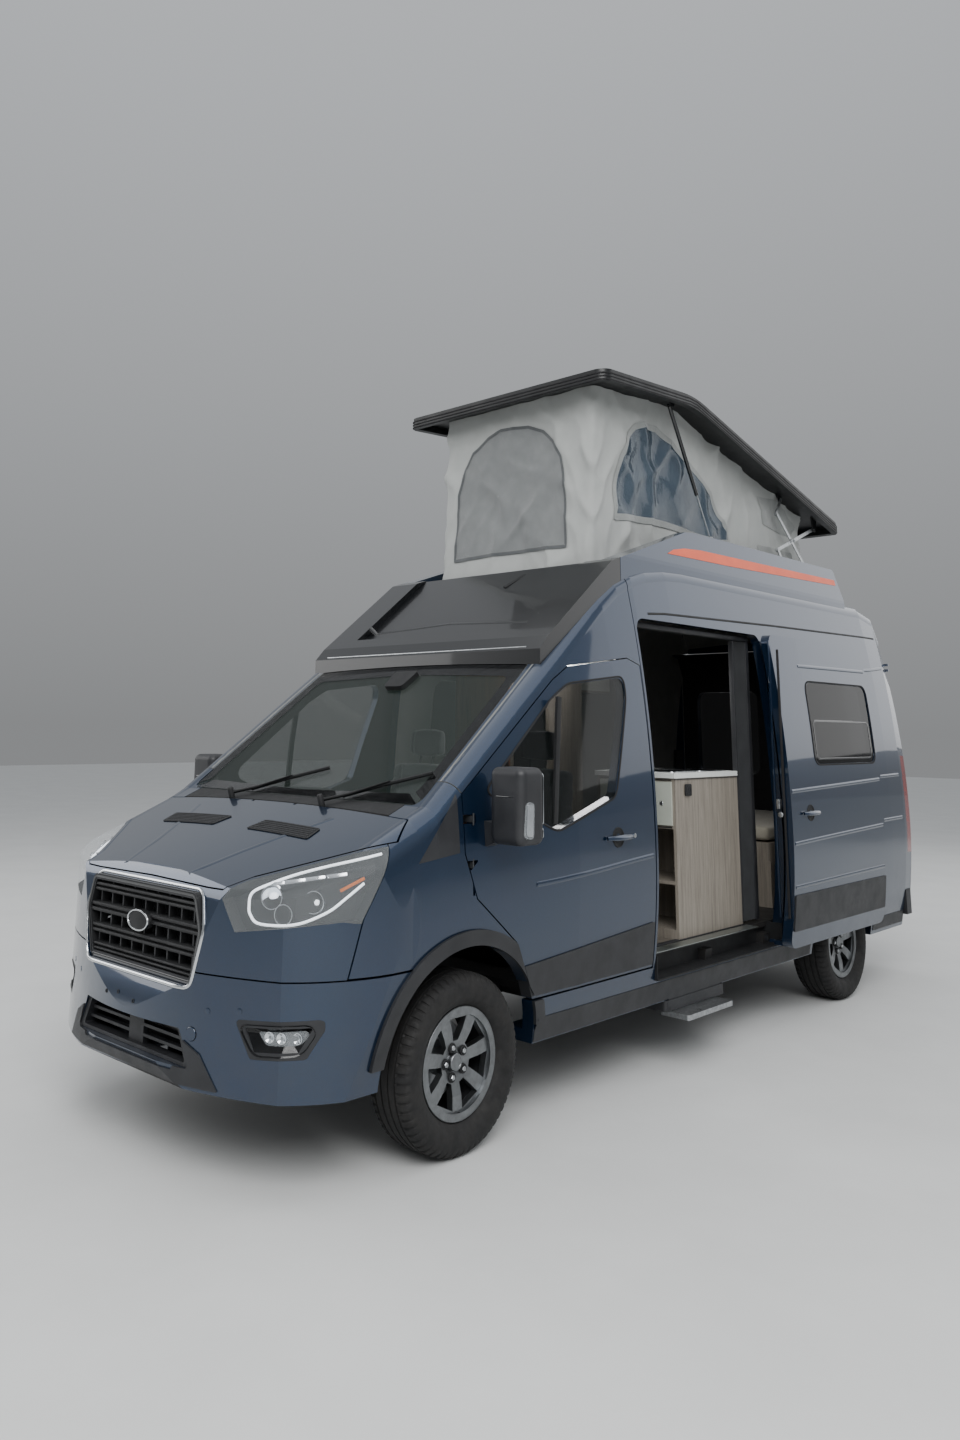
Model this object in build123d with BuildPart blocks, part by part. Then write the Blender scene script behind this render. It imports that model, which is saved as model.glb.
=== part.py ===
"""High-roof camper van with a pop-up roof, long wheelbase, sizes in millimetres.

X runs to the van's left, Y to its rear and Z up from the ground. The origin lies on the
ground under the middle of the van's box. Stations along the van are given as the distance
behind the front axle, and y_at() turns them into Y.
"""
from build123d import *
import os
from math import radians, sin, cos, sqrt

os.makedirs("parts", exist_ok=True)

# Driving sizes of the van
van_length = 5981
front_overhang = 1023
wheelbase = 3750
front_track = 1732
rear_track = 1743
underside_z = 345
wall = 55
glass_recess = 4
glass_thickness = 6
panel_gap = 6
seat_gap = 0.3
front_axle_y = front_overhang - van_length / 2
body_rear = 4925

# Wheels
tyre_radius = 356
tyre_width = 235
bead_radius = 204
rim_width = 172
rim_flange_radius = 220
rim_flange_thickness = 7
barrel_inner_radius = 190
spoke_count = 7
hub_bore_radius = 30.5
spindle_radius = 30
arch_radius = 465
arch_rise = 5
kingpin_x = 690


def y_at(behind):
    """Y of a station given as the distance behind the front axle."""
    return front_axle_y + behind


def plan_block(outline, z_from, z_to, corner=0):
    """Solid over an outline of (x, behind) corners, between two heights."""
    with BuildPart() as block:
        with BuildSketch(Plane.XY.offset(z_from)) as face:
            with BuildLine():
                Polyline(*[(x, y_at(behind)) for x, behind in outline], close=True)
            make_face()
            if corner:
                fillet(face.vertices(), corner)
        extrude(amount=z_to - z_from)
    return block.part


def side_block(outline, x_from, x_to, corner=0):
    """Solid over an outline of (behind, up) corners, between two x planes."""
    with BuildPart() as block:
        with BuildSketch(Plane.YZ.offset(x_from)) as face:
            with BuildLine():
                Polyline(*[(y_at(behind), up) for behind, up in outline], close=True)
            make_face()
            if corner:
                fillet(face.vertices(), corner)
        extrude(amount=x_to - x_from)
    return block.part


def front_block(outline, behind_from, behind_to, corner=0):
    """Solid over an outline of (x, up) corners, between two stations along the van."""
    with BuildPart() as block:
        with BuildSketch(Plane.XZ.offset(-y_at(behind_to))) as face:
            with BuildLine():
                Polyline(*outline, close=True)
            make_face()
            if corner:
                fillet(face.vertices(), corner)
        extrude(amount=behind_to - behind_from)
    return block.part


def box_block(x_from, x_to, behind_from, behind_to, z_from, z_to, corner=0):
    """Upright box between named planes, its four upright edges rounded by corner."""
    outline = [(x_from, behind_from), (x_to, behind_from), (x_to, behind_to), (x_from, behind_to)]
    return plan_block(outline, z_from, z_to, corner)


def round_bar(start, end, radius):
    """Round bar between two points given as (x, behind, up)."""
    a = Vector(start[0], y_at(start[1]), start[2])
    b = Vector(end[0], y_at(end[1]), end[2])
    with BuildPart() as bar:
        with BuildSketch(Plane(origin=a, z_dir=b - a)):
            Circle(radius)
        extrude(amount=(b - a).length)
    return bar.part


def mirrored(part):
    """The same piece on the van's other side."""
    with BuildPart() as other:
        mirror(part, about=Plane.YZ)
    return other.part


def bulge(x_belt, z_belt, x_end, z_end):
    """Half-height point of a side arc that stands upright at the belt."""
    run = abs(x_belt - x_end)
    rise = abs(z_end - z_belt)
    radius = (run ** 2 + rise ** 2) / (2 * run)
    drop = radius - sqrt(radius ** 2 - (rise / 2) ** 2)
    return (x_belt - drop, (z_belt + z_end) / 2)


# Body sections: station, half width at sill, belt half width and height, where the
# shoulder starts (x, z), where the crown starts (x, z) and the height on the centre line
body_stations = [
    (-1060, 930, 985, 850, 978, 925, 860, 1010, 1065),
    (-285, 952, 997, 950, 985, 1240, 868, 1345, 1372),
    (-185, 954, 1002, 960, 985, 1330, 872, 1392, 1394),
    (745, 958, 1029, 1080, 928, 2035, 808, 2112, 2132),
    (1150, 958, 1029, 1080, 902, 2338, 802, 2430, 2460),
    (1300, 958, 1029, 1080, 892, 2438, 800, 2533, 2566),
    (1450, 958, 1029, 1080, 888, 2505, 797, 2600, 2631),
    (1600, 958, 1029, 1080, 884, 2547, 795, 2642, 2671),
    (1800, 958, 1029, 1080, 882, 2578, 792, 2673, 2701),
    (2000, 958, 1029, 1080, 880, 2590, 790, 2685, 2712),
    (4550, 958, 1029, 1080, 880, 2590, 790, 2685, 2712),
    (4800, 956, 1027, 1080, 876, 2545, 788, 2640, 2665),
    (4925, 950, 1020, 1080, 870, 2400, 785, 2500, 2530),
]
corner_bulge = 0.72
nose_plan = [(800, -835), (965, -560), (1003, -330)]


def body_form(inset):
    """The body's outer form, drawn in by inset on every side."""
    first = body_stations[0][0]
    last = body_stations[-1][0]
    with BuildPart() as form:
        for (station, x_sill, x_belt, z_belt, x_shoulder, z_shoulder,
                x_crown, z_crown, z_top) in body_stations:
            behind = station
            if station == last:
                behind = station - inset
            if station == first:
                behind = station + inset / 2
            z_low = underside_z + inset
            sill = (x_sill - inset, z_low)
            belt = (x_belt - inset, z_belt)
            shoulder = (x_shoulder - inset, z_shoulder)
            crown = (x_crown - inset * 0.6, z_crown - inset)
            corner = (crown[0] + (shoulder[0] - crown[0]) * corner_bulge,
                      shoulder[1] + (crown[1] - shoulder[1]) * corner_bulge)
            with BuildSketch(Plane.XZ.offset(-y_at(behind))):
                with BuildLine():
                    Line((-sill[0], z_low), sill)
                    ThreePointArc(sill, bulge(*belt, *sill), belt)
                    ThreePointArc(belt, bulge(*belt, *shoulder), shoulder)
                    ThreePointArc(shoulder, corner, crown)
                    ThreePointArc(crown, (0, z_top - inset), (-crown[0], crown[1]))
                    ThreePointArc((-crown[0], crown[1]), (-corner[0], corner[1]),
                                  (-shoulder[0], shoulder[1]))
                    upper = bulge(*belt, *shoulder)
                    ThreePointArc((-shoulder[0], shoulder[1]), (-upper[0], upper[1]),
                                  (-belt[0], belt[1]))
                    lower = bulge(*belt, *sill)
                    ThreePointArc((-belt[0], belt[1]), (-lower[0], lower[1]), (-sill[0], z_low))
                make_face()
        loft(ruled=True)
        # Rounded nose seen from above
        with BuildSketch(Plane.XY.offset(underside_z - 10)):
            with BuildLine():
                ThreePointArc(*[(x, y_at(b + inset)) for x, b in
                                [(-nose_plan[0][0], nose_plan[0][1]), (0, -1023), (nose_plan[0][0], nose_plan[0][1])]])
                ThreePointArc((nose_plan[0][0], y_at(nose_plan[0][1] + inset)),
                              (nose_plan[1][0] - inset * 0.7 - 40, y_at(nose_plan[1][1] - 105 + inset * 0.5)),
                              (nose_plan[2][0] - inset - 10, y_at(nose_plan[2][1])))
                Line((nose_plan[2][0] - inset - 10, y_at(nose_plan[2][1])), (1080, y_at(450)))
                Polyline((1080, y_at(450)), (1080, y_at(5200)), (-1080, y_at(5200)), (-1080, y_at(450)))
                Line((-1080, y_at(450)), (-nose_plan[2][0] + inset + 10, y_at(nose_plan[2][1])))
                ThreePointArc((-nose_plan[2][0] + inset + 10, y_at(nose_plan[2][1])),
                              (-nose_plan[1][0] + inset * 0.7 + 40, y_at(nose_plan[1][1] - 105 + inset * 0.5)),
                              (-nose_plan[0][0], y_at(nose_plan[0][1] + inset)))
            make_face()
        extrude(amount=3000, mode=Mode.INTERSECT)
        # Bumper, grille and bonnet edge seen from the side
        with BuildSketch(Plane.YZ.offset(-1200)):
            with BuildLine():
                ThreePointArc((y_at(-968 + inset), underside_z - 20), (y_at(-1023 + inset), 585),
                              (y_at(-995 + inset), 700))
                Line((y_at(-995 + inset), 700), (y_at(-945 + inset), 1035))
                ThreePointArc((y_at(-945 + inset), 1035), (y_at(-918 + inset), 1105),
                              (y_at(-850 + inset), 1152))
                Polyline((y_at(-850 + inset), 1152), (y_at(-500), 1400), (y_at(-500), 2900),
                         (y_at(5200), 2900), (y_at(5200), underside_z - 20),
                         (y_at(-968 + inset), underside_z - 20))
            make_face()
        extrude(amount=2400, mode=Mode.INTERSECT)
    return form.part


outer_form = body_form(0)
inner_form = body_form(wall)
inside_form = body_form(wall + seat_gap)
with BuildPart() as shell:
    add(outer_form)
    add(inner_form, mode=Mode.SUBTRACT)
with BuildPart() as glazing:
    add(body_form(glass_recess))
    add(body_form(glass_recess + glass_thickness), mode=Mode.SUBTRACT)

wide = 1300
half_gap = panel_gap / 2


def spread(outline, amount):
    """An outline of corner pairs grown by amount, for the gap round a panel."""
    with BuildSketch() as grown:
        with BuildLine():
            Polyline(*outline, close=True)
        make_face()
        offset(amount=amount, kind=Kind.INTERSECTION)
    wire = grown.face().outer_wire()
    return [(edge.position_at(0).X, edge.position_at(0).Y) for edge in wire.order_edges()]


# Outlines seen from the side as (behind, up)
door_outline = [(-30, 1200), (-30, 1446), (665, 1964), (800, 2040), (1290, 2103), (1398, 2070),
                (1404, 1040), (1404, 540), (428, 540), (300, 800), (40, 1010)]
door_window = [(125, 1452), (640, 1868), (775, 1945), (1225, 1998), (1228, 1900), (1062, 1402), (590, 1262)]
wing_outline = [(-628, 775), (-573, 992), (-424, 1272), (-268, 1368), (-268, 1560), (-90, 1560),
                (-30, 1446), (-30, 1200), (40, 1010), (300, 800), (428, 540), (20, 540), (20, 775)]
sail_outline = [(-300, 1178), (-60, 1448), (-60, 1205)]
lamp_rear = [(-1200, 900), (-615, 900), (-573, 992), (-424, 1272), (-400, 1400), (-1200, 1400)]
opening_outline = [(1428, 456), (1428, 2334), (2828, 2334), (2828, 456)]
sliding_window = [(1820, 1530), (1820, 2045), (2765, 2045), (2765, 1530)]
right_window = [(1750, 1540), (1750, 2050), (2900, 2050), (2900, 1540)]
rear_door_outline = [(3, 600), (3, 2396), (858, 2396), (858, 600)]
rear_window = [(150, 1380), (150, 2060), (720, 2060), (720, 1380)]
# Outlines seen from the front as (x, up)
screen_outline = [(862, 1396), (790, 2066), (-790, 2066), (-862, 1396)]
grille_outline = [(400, 718), (452, 925), (405, 1066), (-405, 1066), (-452, 925), (-400, 718)]
lamp_outline = [(541, 1058), (590, 1122), (1150, 1328), (1150, 900), (933, 985), (604, 938)]
fog_outline = [(622, 626), (905, 640), (905, 600), (868, 502), (690, 492)]
intake_outline = [(360, 560), (430, 420), (-430, 420), (-360, 560)]

wheel_stations = {"front": (0, front_track / 2), "rear": (wheelbase, rear_track / 2)}


def wheel_hole(behind, radius, x_from, x_to):
    """Round cutter on a wheel's axis between two x planes."""
    with BuildPart() as hole:
        with BuildSketch(Plane.YZ.offset(x_from)):
            with Locations((y_at(behind), tyre_radius + arch_rise)):
                Circle(radius)
        extrude(amount=x_to - x_from)
    return hole.part


front_arch = wheel_hole(0, arch_radius, 500, wide)
rear_arch = wheel_hole(wheelbase, arch_radius, 500, wide)

# Front doors, one door thick with a window and pockets round the hinge arms
hinge_radius = 4
door_skin_x = 850
door_cutter = side_block(spread(door_outline, -half_gap), door_skin_x, wide, 12)
door_hole = side_block(spread(door_outline, half_gap), door_skin_x, wide, 14)
door_window_cutter = side_block(door_window, door_skin_x, wide, 45)
firewall_face = -132
door_pin = (1000, 20)
door_hinge_z = (1150, 1340)
with BuildPart() as door_pocket:
    for height in door_hinge_z:
        add(round_bar((*door_pin, height - 26), (*door_pin, height + 26), hinge_radius + seat_gap))
        add(box_block(880, 1004.5, -60, 46, height - 19, height + 19))
with BuildPart() as door_hinge:
    for height in door_hinge_z:
        add(round_bar((*door_pin, height - 25), (*door_pin, height + 25), hinge_radius))
        add(box_block(990, 1000, 16.2, 23.8, height - 13, height + 13))
        add(box_block(898, 992, 13, 27, height - 13, height + 13))
        add(box_block(886, 912, firewall_face + seat_gap, 27, height - 13, height + 13))
with BuildPart() as front_door_left:
    add(shell.part)
    add(door_cutter, mode=Mode.INTERSECT)
    add(door_window_cutter, mode=Mode.SUBTRACT)
    add(door_pocket.part, mode=Mode.SUBTRACT)
with BuildPart() as door_glass_left:
    add(glazing.part)
    add(side_block(spread(door_window, -seat_gap), door_skin_x, wide, 44.7), mode=Mode.INTERSECT)

# Wings with their round arches, and the black corner trims ahead of the doors
wing_side_x = 780


def bonnet_region(gap):
    """Space of the bonnet seen from above and from the front, drawn in by gap."""
    half_plan = [(0, -1200), (1200, -1200), (1200, -424 - gap), (976 - gap, -424 - gap),
                 (903 - gap, -276 - gap), (0, -276 - gap)]
    half_front = [(0, 1090 + gap), (430, 1084 + gap), (530, 1086 + gap), (592, 1132 + gap),
                  (1150, 1338 + gap), (1150, 1700), (0, 1700)]
    with BuildPart() as region:
        add(plan_block(half_plan, 900, 1800))
        add(front_block(half_front, -1250, 0), mode=Mode.INTERSECT)
        mirror(about=Plane.YZ)
    return region.part


bonnet_space = bonnet_region(0)
bonnet_pin = (-293, 1357)
bonnet_hinge_x = 160
with BuildPart() as bonnet_hinge:
    for side in (-1, 1):
        mid = side * bonnet_hinge_x
        add(round_bar((mid - 15, *bonnet_pin), (mid + 15, *bonnet_pin), hinge_radius))
        add(side_block([(-297, 1357), (-293, 1359), (-262, 1338), (-262, 1321)], mid - 5, mid + 5))
with BuildPart() as bonnet_pocket:
    for side in (-1, 1):
        mid = side * bonnet_hinge_x
        add(round_bar((mid - 16, *bonnet_pin), (mid + 16, *bonnet_pin), hinge_radius + seat_gap))
        add(side_block([(-303, 1300), (-303, 1354), (-296, 1362.5), (-291, 1380), (-276, 1380), (-276, 1300)],
                       mid - 10, mid + 10))
with BuildPart() as bonnet:
    add(shell.part)
    add(bonnet_region(panel_gap), mode=Mode.INTERSECT)
    add(bonnet_pocket.part, mode=Mode.SUBTRACT)

screen_hole = front_block(screen_outline, -350, 1000, 40)
wing_form = side_block(spread(wing_outline, -half_gap), wing_side_x, wide)
sail_hole = side_block(sail_outline, wing_side_x, wide)
with BuildPart() as wing_left:
    add(shell.part)
    add(wing_form, mode=Mode.INTERSECT)
    add(bonnet_space, mode=Mode.SUBTRACT)
    add(front_arch, mode=Mode.SUBTRACT)
    add(sail_hole, mode=Mode.SUBTRACT)
    add(screen_hole, mode=Mode.SUBTRACT)
    add(round_bar((*door_pin, 1025), (*door_pin, 1105), 10), mode=Mode.SUBTRACT)
with BuildPart() as corner_trims:
    add(shell.part)
    add(side_block(spread(sail_outline, -seat_gap), wing_side_x, wide), mode=Mode.INTERSECT)
    mirror(about=Plane.YZ)

# Nose panel round the grille and lamps, bumper below it
bumper_top = 772
with BuildPart() as lamp_space:
    add(front_block(lamp_outline, -1150, -380))
    add(side_block(lamp_rear, 0, wide), mode=Mode.INTERSECT)
    mirror(about=Plane.YZ)
with BuildPart() as lamp_form:
    add(front_block(spread(lamp_outline, -seat_gap), -1150, -380))
    add(side_block(spread(lamp_rear, -seat_gap), 0, wide), mode=Mode.INTERSECT)
    mirror(about=Plane.YZ)
nose_side = [(-1200, bumper_top + half_gap), (-628 - half_gap, bumper_top + half_gap), (-576, 992),
             (-427, 1272), (-427, 1500), (-1200, 1500)]
with BuildPart() as nose_panel:
    add(shell.part)
    add(side_block(nose_side, -wide, wide), mode=Mode.INTERSECT)
    add(bonnet_space, mode=Mode.SUBTRACT)
    add(lamp_space.part, mode=Mode.SUBTRACT)
    add(front_block(grille_outline, -1150, -700, 22), mode=Mode.SUBTRACT)
with BuildPart() as headlamps:
    add(shell.part)
    add(lamp_form.part, mode=Mode.INTERSECT)
    add(bonnet_space, mode=Mode.SUBTRACT)

tow_x, tow_z, tow_mouth = 425, 547, -905
bumper_side = [(-1200, 300), (-1200, bumper_top - half_gap), (-634, bumper_top - half_gap),
               (-300, bumper_top - half_gap), (-300, 300)]
fog_hole = front_block(fog_outline, -1150, -560, 14)
with BuildPart() as front_bumper:
    add(shell.part)
    add(side_block(bumper_side, -wide, wide), mode=Mode.INTERSECT)
    add(front_arch, mode=Mode.SUBTRACT)
    add(mirrored(front_arch), mode=Mode.SUBTRACT)
    add(fog_hole, mode=Mode.SUBTRACT)
    add(mirrored(fog_hole), mode=Mode.SUBTRACT)
    add(front_block(grille_outline, -1150, -700, 22), mode=Mode.SUBTRACT)
    add(front_block(intake_outline, -1150, -700, 14), mode=Mode.SUBTRACT)
    add(round_bar((tow_x, -1100, tow_z), (tow_x, -800, tow_z), 27), mode=Mode.SUBTRACT)

# Cab frame: pillars, header, cowl and firewall round the screen and doors
cab_rear = 1407 - panel_gap / 2
side_inner_x = 803
cab_side = [(-270, 1150), (-270, 2900), (cab_rear, 2900), (cab_rear, 1150)]
wing_hole = side_block(spread(wing_outline, half_gap), wing_side_x - 5, wide)
with BuildPart() as cab_frame:
    add(shell.part)
    add(side_block(cab_side, -wide, wide), mode=Mode.INTERSECT)
    add(screen_hole, mode=Mode.SUBTRACT)
    for cutter in (door_hole, wing_hole):
        add(cutter, mode=Mode.SUBTRACT)
        mirror(cutter, about=Plane.YZ, mode=Mode.SUBTRACT)
    add(bonnet_hinge.part)
with BuildPart() as windscreen:
    add(glazing.part)
    add(front_block(spread(screen_outline, -seat_gap), -350, 1000, 39.7), mode=Mode.INTERSECT)

firewall_thickness = 18
firewall_behind = firewall_face - firewall_thickness
with BuildPart() as firewall:
    add(inside_form)
    add(box_block(-wide, wide, firewall_behind, firewall_behind + firewall_thickness, 590, 1345),
        mode=Mode.INTERSECT)
    add(box_block(-wide, wide, -400, 400, 300, 560), mode=Mode.SUBTRACT)
    for side in (-1, 1):
        add(box_block(side * 650 - 370, side * 650 + 370, -400, 400, 560, 880), mode=Mode.SUBTRACT)

# Body sides behind the cab, the left one with the wide side opening
side_side = [(436, 330), (436, 534), (cab_rear + panel_gap, 534), (cab_rear + panel_gap, 2900),
             (5000, 2900), (5000, 594), (4800, 594), (4800, 330)]
post_depth = 60
post_front = 1366
post_rear = 1474
post_clear = 6
with BuildPart() as pillar_ring:
    add(body_form(wall + post_clear))
    add(body_form(wall + post_clear + post_depth), mode=Mode.SUBTRACT)
post_box = box_block(700, wide, post_front, post_rear, 589, 2500)
web_box = box_block(700, wide, cab_rear + panel_gap, 1425, 589, 2500)
with BuildPart() as pillar_web:
    add(body_form(wall - 10))
    add(body_form(wall + post_clear + 10), mode=Mode.SUBTRACT)
    add(web_box, mode=Mode.INTERSECT)
with BuildPart() as pillar_left:
    add(pillar_ring.part)
    add(post_box, mode=Mode.INTERSECT)
    add(pillar_web.part)
rear_aperture = front_block([(-866, 594), (-866, 2402), (866, 2402), (866, 594)], 4700, 5000, 30)
opening_hole = side_block(opening_outline, 700, wide, 70)
with BuildPart() as side_plain:
    add(shell.part)
    add(side_block(side_side, side_inner_x, wide), mode=Mode.INTERSECT)
    add(rear_arch, mode=Mode.SUBTRACT)
    add(front_arch, mode=Mode.SUBTRACT)
    add(rear_aperture, mode=Mode.SUBTRACT)
with BuildPart() as side_left:
    add(side_plain.part)
    add(opening_hole, mode=Mode.SUBTRACT)
    add(pillar_left.part)
right_window_hole = side_block(right_window, 700, wide, 90)
with BuildPart() as side_right_twin:
    add(side_plain.part)
    add(right_window_hole, mode=Mode.SUBTRACT)
    add(pillar_left.part)
with BuildPart() as side_right:
    mirror(side_right_twin.part, about=Plane.YZ)
with BuildPart() as side_glass_twin:
    add(glazing.part)
    add(side_block(spread(right_window, -seat_gap), 700, wide, 89.7), mode=Mode.INTERSECT)
with BuildPart() as side_glass:
    mirror(side_glass_twin.part, about=Plane.YZ)

# Sliding door, kept open beside the rear quarter, with its window and its carriers
slide_back = 1288
slide_out = 120
slide_move = Location((slide_out, slide_back, 0))
slide_form = side_block(spread(opening_outline, -panel_gap), 700, wide, 64)
slide_window_cutter = side_block(sliding_window, 700, wide, 70)
with BuildPart() as sliding_shut:
    add(shell.part)
    add(slide_form, mode=Mode.INTERSECT)
    add(slide_window_cutter, mode=Mode.SUBTRACT)
rail_z = 1235
with BuildPart() as sliding_door:
    add(box_block(1010, 1110, 4040, 4095, rail_z - 20, rail_z + 20))
    add(box_block(940, 1070, 2745, 2800, 474, 500))
    add(body_form(-seat_gap), mode=Mode.SUBTRACT)
    add(sliding_shut.part.moved(slide_move))
with BuildPart() as sliding_glass_shut:
    add(glazing.part)
    add(side_block(spread(sliding_window, -seat_gap), 700, wide, 69.7), mode=Mode.INTERSECT)
with BuildPart() as sliding_glass:
    add(sliding_glass_shut.part.moved(slide_move))

# Roof with the hatch under the tent
hatch = [(-500, 1800), (500, 1800), (500, 3600), (-500, 3600)]
with BuildPart() as roof_shell:
    add(shell.part)
    add(box_block(-797, 797, cab_rear + panel_gap, 5000, 2300, 2900), mode=Mode.INTERSECT)
    add(rear_aperture, mode=Mode.SUBTRACT)
    add(plan_block(hatch, 2300, 2900, 60), mode=Mode.SUBTRACT)

# Dark cap over the cab roof and the fairings along the roof edges
cap_gap = seat_gap
cap_top = [(655, 2120), (720, 2190), (1290, 2640), (2150, 2925), (2250, 2934), (4262, 2934), (4330, 2700)]
cap_low = [(4330, 2500), (655, 2000)]
cap_seam = 1372
cap_half = 868
with BuildPart() as cap_band:
    add(side_block(cap_top + cap_low, -cap_half, cap_half))
    fillet(cap_band.edges().filter_by(Axis.X).group_by(Axis.Z)[-1], 25)
    add(body_form(-cap_gap), mode=Mode.SUBTRACT)
with BuildPart() as cap_envelope:
    for z, half in ((1900, 935), (2500, 884), (2700, 866), (2950, 818)):
        with BuildSketch(Plane.XY.offset(z)):
            with Locations((0, y_at(2600))):
                Rectangle(2 * half, 5000)
    loft(ruled=True)
cap_recess = side_block([(790, 2200), (1420, 2700), (1420, 2900), (700, 2900)], -640, 640)
with BuildPart() as roof_cap:
    add(cap_band.part)
    add(cap_envelope.part, mode=Mode.INTERSECT)
    add(box_block(-900, 900, 0, cap_seam - 2, 2000, 3000), mode=Mode.INTERSECT)
    add(cap_recess, mode=Mode.SUBTRACT)
fairing_inner = 742
with BuildPart() as roof_fairings:
    add(cap_band.part)
    add(cap_envelope.part, mode=Mode.INTERSECT)
    add(box_block(fairing_inner, 900, cap_seam + 2, 4500, 2400, 3000), mode=Mode.INTERSECT)
    mirror(about=Plane.YZ)

# Rear doors, each with a window
rear_door_cutter = front_block(rear_door_outline, 4700, 5000, 20)
rear_window_cutter = front_block(rear_window, 4700, 5000, 60)
rear_pin = (870, 4935)
rear_hinge_z = (730, 1650, 2230)
with BuildPart() as rear_straps:
    for height in rear_hinge_z:
        add(round_bar((*rear_pin, height - 11), (*rear_pin, height + 11), 9))
        add(box_block(790, 858, 4920, 4931, height - 11, height + 11))
        add(box_block(850, 867, 4925.5, 4931, height - 11, height + 11))
        add(round_bar((*rear_pin, height - 14), (*rear_pin, height + 14), hinge_radius + seat_gap), mode=Mode.SUBTRACT)
with BuildPart() as rear_leaves:
    for height in rear_hinge_z:
        add(round_bar((*rear_pin, height - 30), (*rear_pin, height + 30), hinge_radius))
        for step in (-21, 21):
            add(round_bar((*rear_pin, height + step - 9), (*rear_pin, height + step + 9), 9))
            add(box_block(873, 935, 4918, 4931, height + step - 9, height + step + 9))
with BuildPart() as rear_door_left:
    add(shell.part)
    add(rear_door_cutter, mode=Mode.INTERSECT)
    add(rear_window_cutter, mode=Mode.SUBTRACT)
    add(rear_straps.part)
with BuildPart() as rear_glass_left:
    add(glazing.part)
    add(front_block(spread(rear_window, -seat_gap), 4700, 5000, 59.7), mode=Mode.INTERSECT)

# Black cladding raised from the doors and round the wheel arches
clad_proud = 7
flare_proud = 14
flare_radius = 528
door_clad_outline = [(330, 690), (1390, 765), (1390, 556), (440, 556)]
slide_clad_outline = [(1448, 770), (2808, 770), (2808, 562), (1448, 562)]
with BuildPart() as clad_skin:
    add(body_form(-clad_proud))
    add(body_form(1), mode=Mode.SUBTRACT)
with BuildPart() as flare_skin:
    add(body_form(-flare_proud))
    add(body_form(-seat_gap), mode=Mode.SUBTRACT)
with BuildPart() as door_cladding:
    add(clad_skin.part)
    add(side_block(door_clad_outline, 900, wide, 10), mode=Mode.INTERSECT)
    add(door_cutter, mode=Mode.INTERSECT)
    add(front_arch, mode=Mode.SUBTRACT)
with BuildPart() as slide_cladding:
    add(clad_skin.part)
    add(side_block(slide_clad_outline, 900, wide, 10), mode=Mode.INTERSECT)
with BuildPart() as front_door_clad:
    add(front_door_left.part)
    add(door_cladding.part)
with BuildPart() as sliding_door_clad:
    add(sliding_door.part)
    add(slide_cladding.part.moved(slide_move))
with BuildPart() as arch_trims:
    add(flare_skin.part)
    add(wheel_hole(0, flare_radius, 800, wide) + wheel_hole(wheelbase, flare_radius, 800, wide),
        mode=Mode.INTERSECT)
    add(front_arch, mode=Mode.SUBTRACT)
    add(rear_arch, mode=Mode.SUBTRACT)
    add(side_block(spread(door_outline, panel_gap), 800, wide), mode=Mode.SUBTRACT)
    add(box_block(0, wide, -2000, 6000, 0, 430), mode=Mode.SUBTRACT)
    mirror(about=Plane.YZ)

# Rear bumper wrapped round the corners, and the tail lamps above it
with BuildPart() as rear_bumper:
    with BuildSketch(Plane.XY.offset(420)):
        with BuildLine():
            Line((-1000, y_at(4806)), (-1000, y_at(4880)))
            ThreePointArc((-1000, y_at(4880)), (-975, y_at(4935)), (-910, y_at(4955)))
            ThreePointArc((-910, y_at(4955)), (0, y_at(van_length - front_overhang)), (910, y_at(4955)))
            ThreePointArc((910, y_at(4955)), (975, y_at(4935)), (1000, y_at(4880)))
            Line((1000, y_at(4880)), (1000, y_at(4806)))
            Line((1000, y_at(4806)), (-1000, y_at(4806)))
        make_face()
    extrude(amount=173.7)
    add(box_block(-905, 905, 4700, 4882, 400, 600), mode=Mode.SUBTRACT)
lamp_cut = front_block([(872, 860), (872, 1560), (1100, 1560), (1100, 860)], 4840, 5000)
with BuildPart() as tail_lamps:
    add(shell.part)
    add(lamp_cut, mode=Mode.INTERSECT)
    mirror(about=Plane.YZ)
with BuildPart() as side_left_open:
    add(side_left.part)
    add(lamp_cut, mode=Mode.SUBTRACT)
    add(rear_leaves.part)
with BuildPart() as side_right_open:
    add(side_right.part)
    mirror(lamp_cut, about=Plane.YZ, mode=Mode.SUBTRACT)
    mirror(rear_leaves.part, about=Plane.YZ)

# Grille: surround, cross bars and upright ribs
grille_bars = [(1012, 38), (925, 44), (838, 40), (762, 34)]
with BuildPart() as grille:
    add(front_block(spread(grille_outline, -1), -966, -906, 20))
    add(front_block(spread(grille_outline, -24), -1000, -800, 14), mode=Mode.SUBTRACT)
    with BuildSketch(Plane.XZ.offset(-y_at(-912))) as bars:
        for height, depth in grille_bars:
            with Locations((0, height)):
                Rectangle(860, depth)
        with GridLocations(92, 0, 9, 1):
            with Locations((0, 892)):
                Rectangle(9, 330)
        with BuildSketch(mode=Mode.INTERSECT):
            with BuildLine():
                Polyline(*spread(grille_outline, -12), close=True)
            make_face()
    extrude(amount=34)

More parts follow.
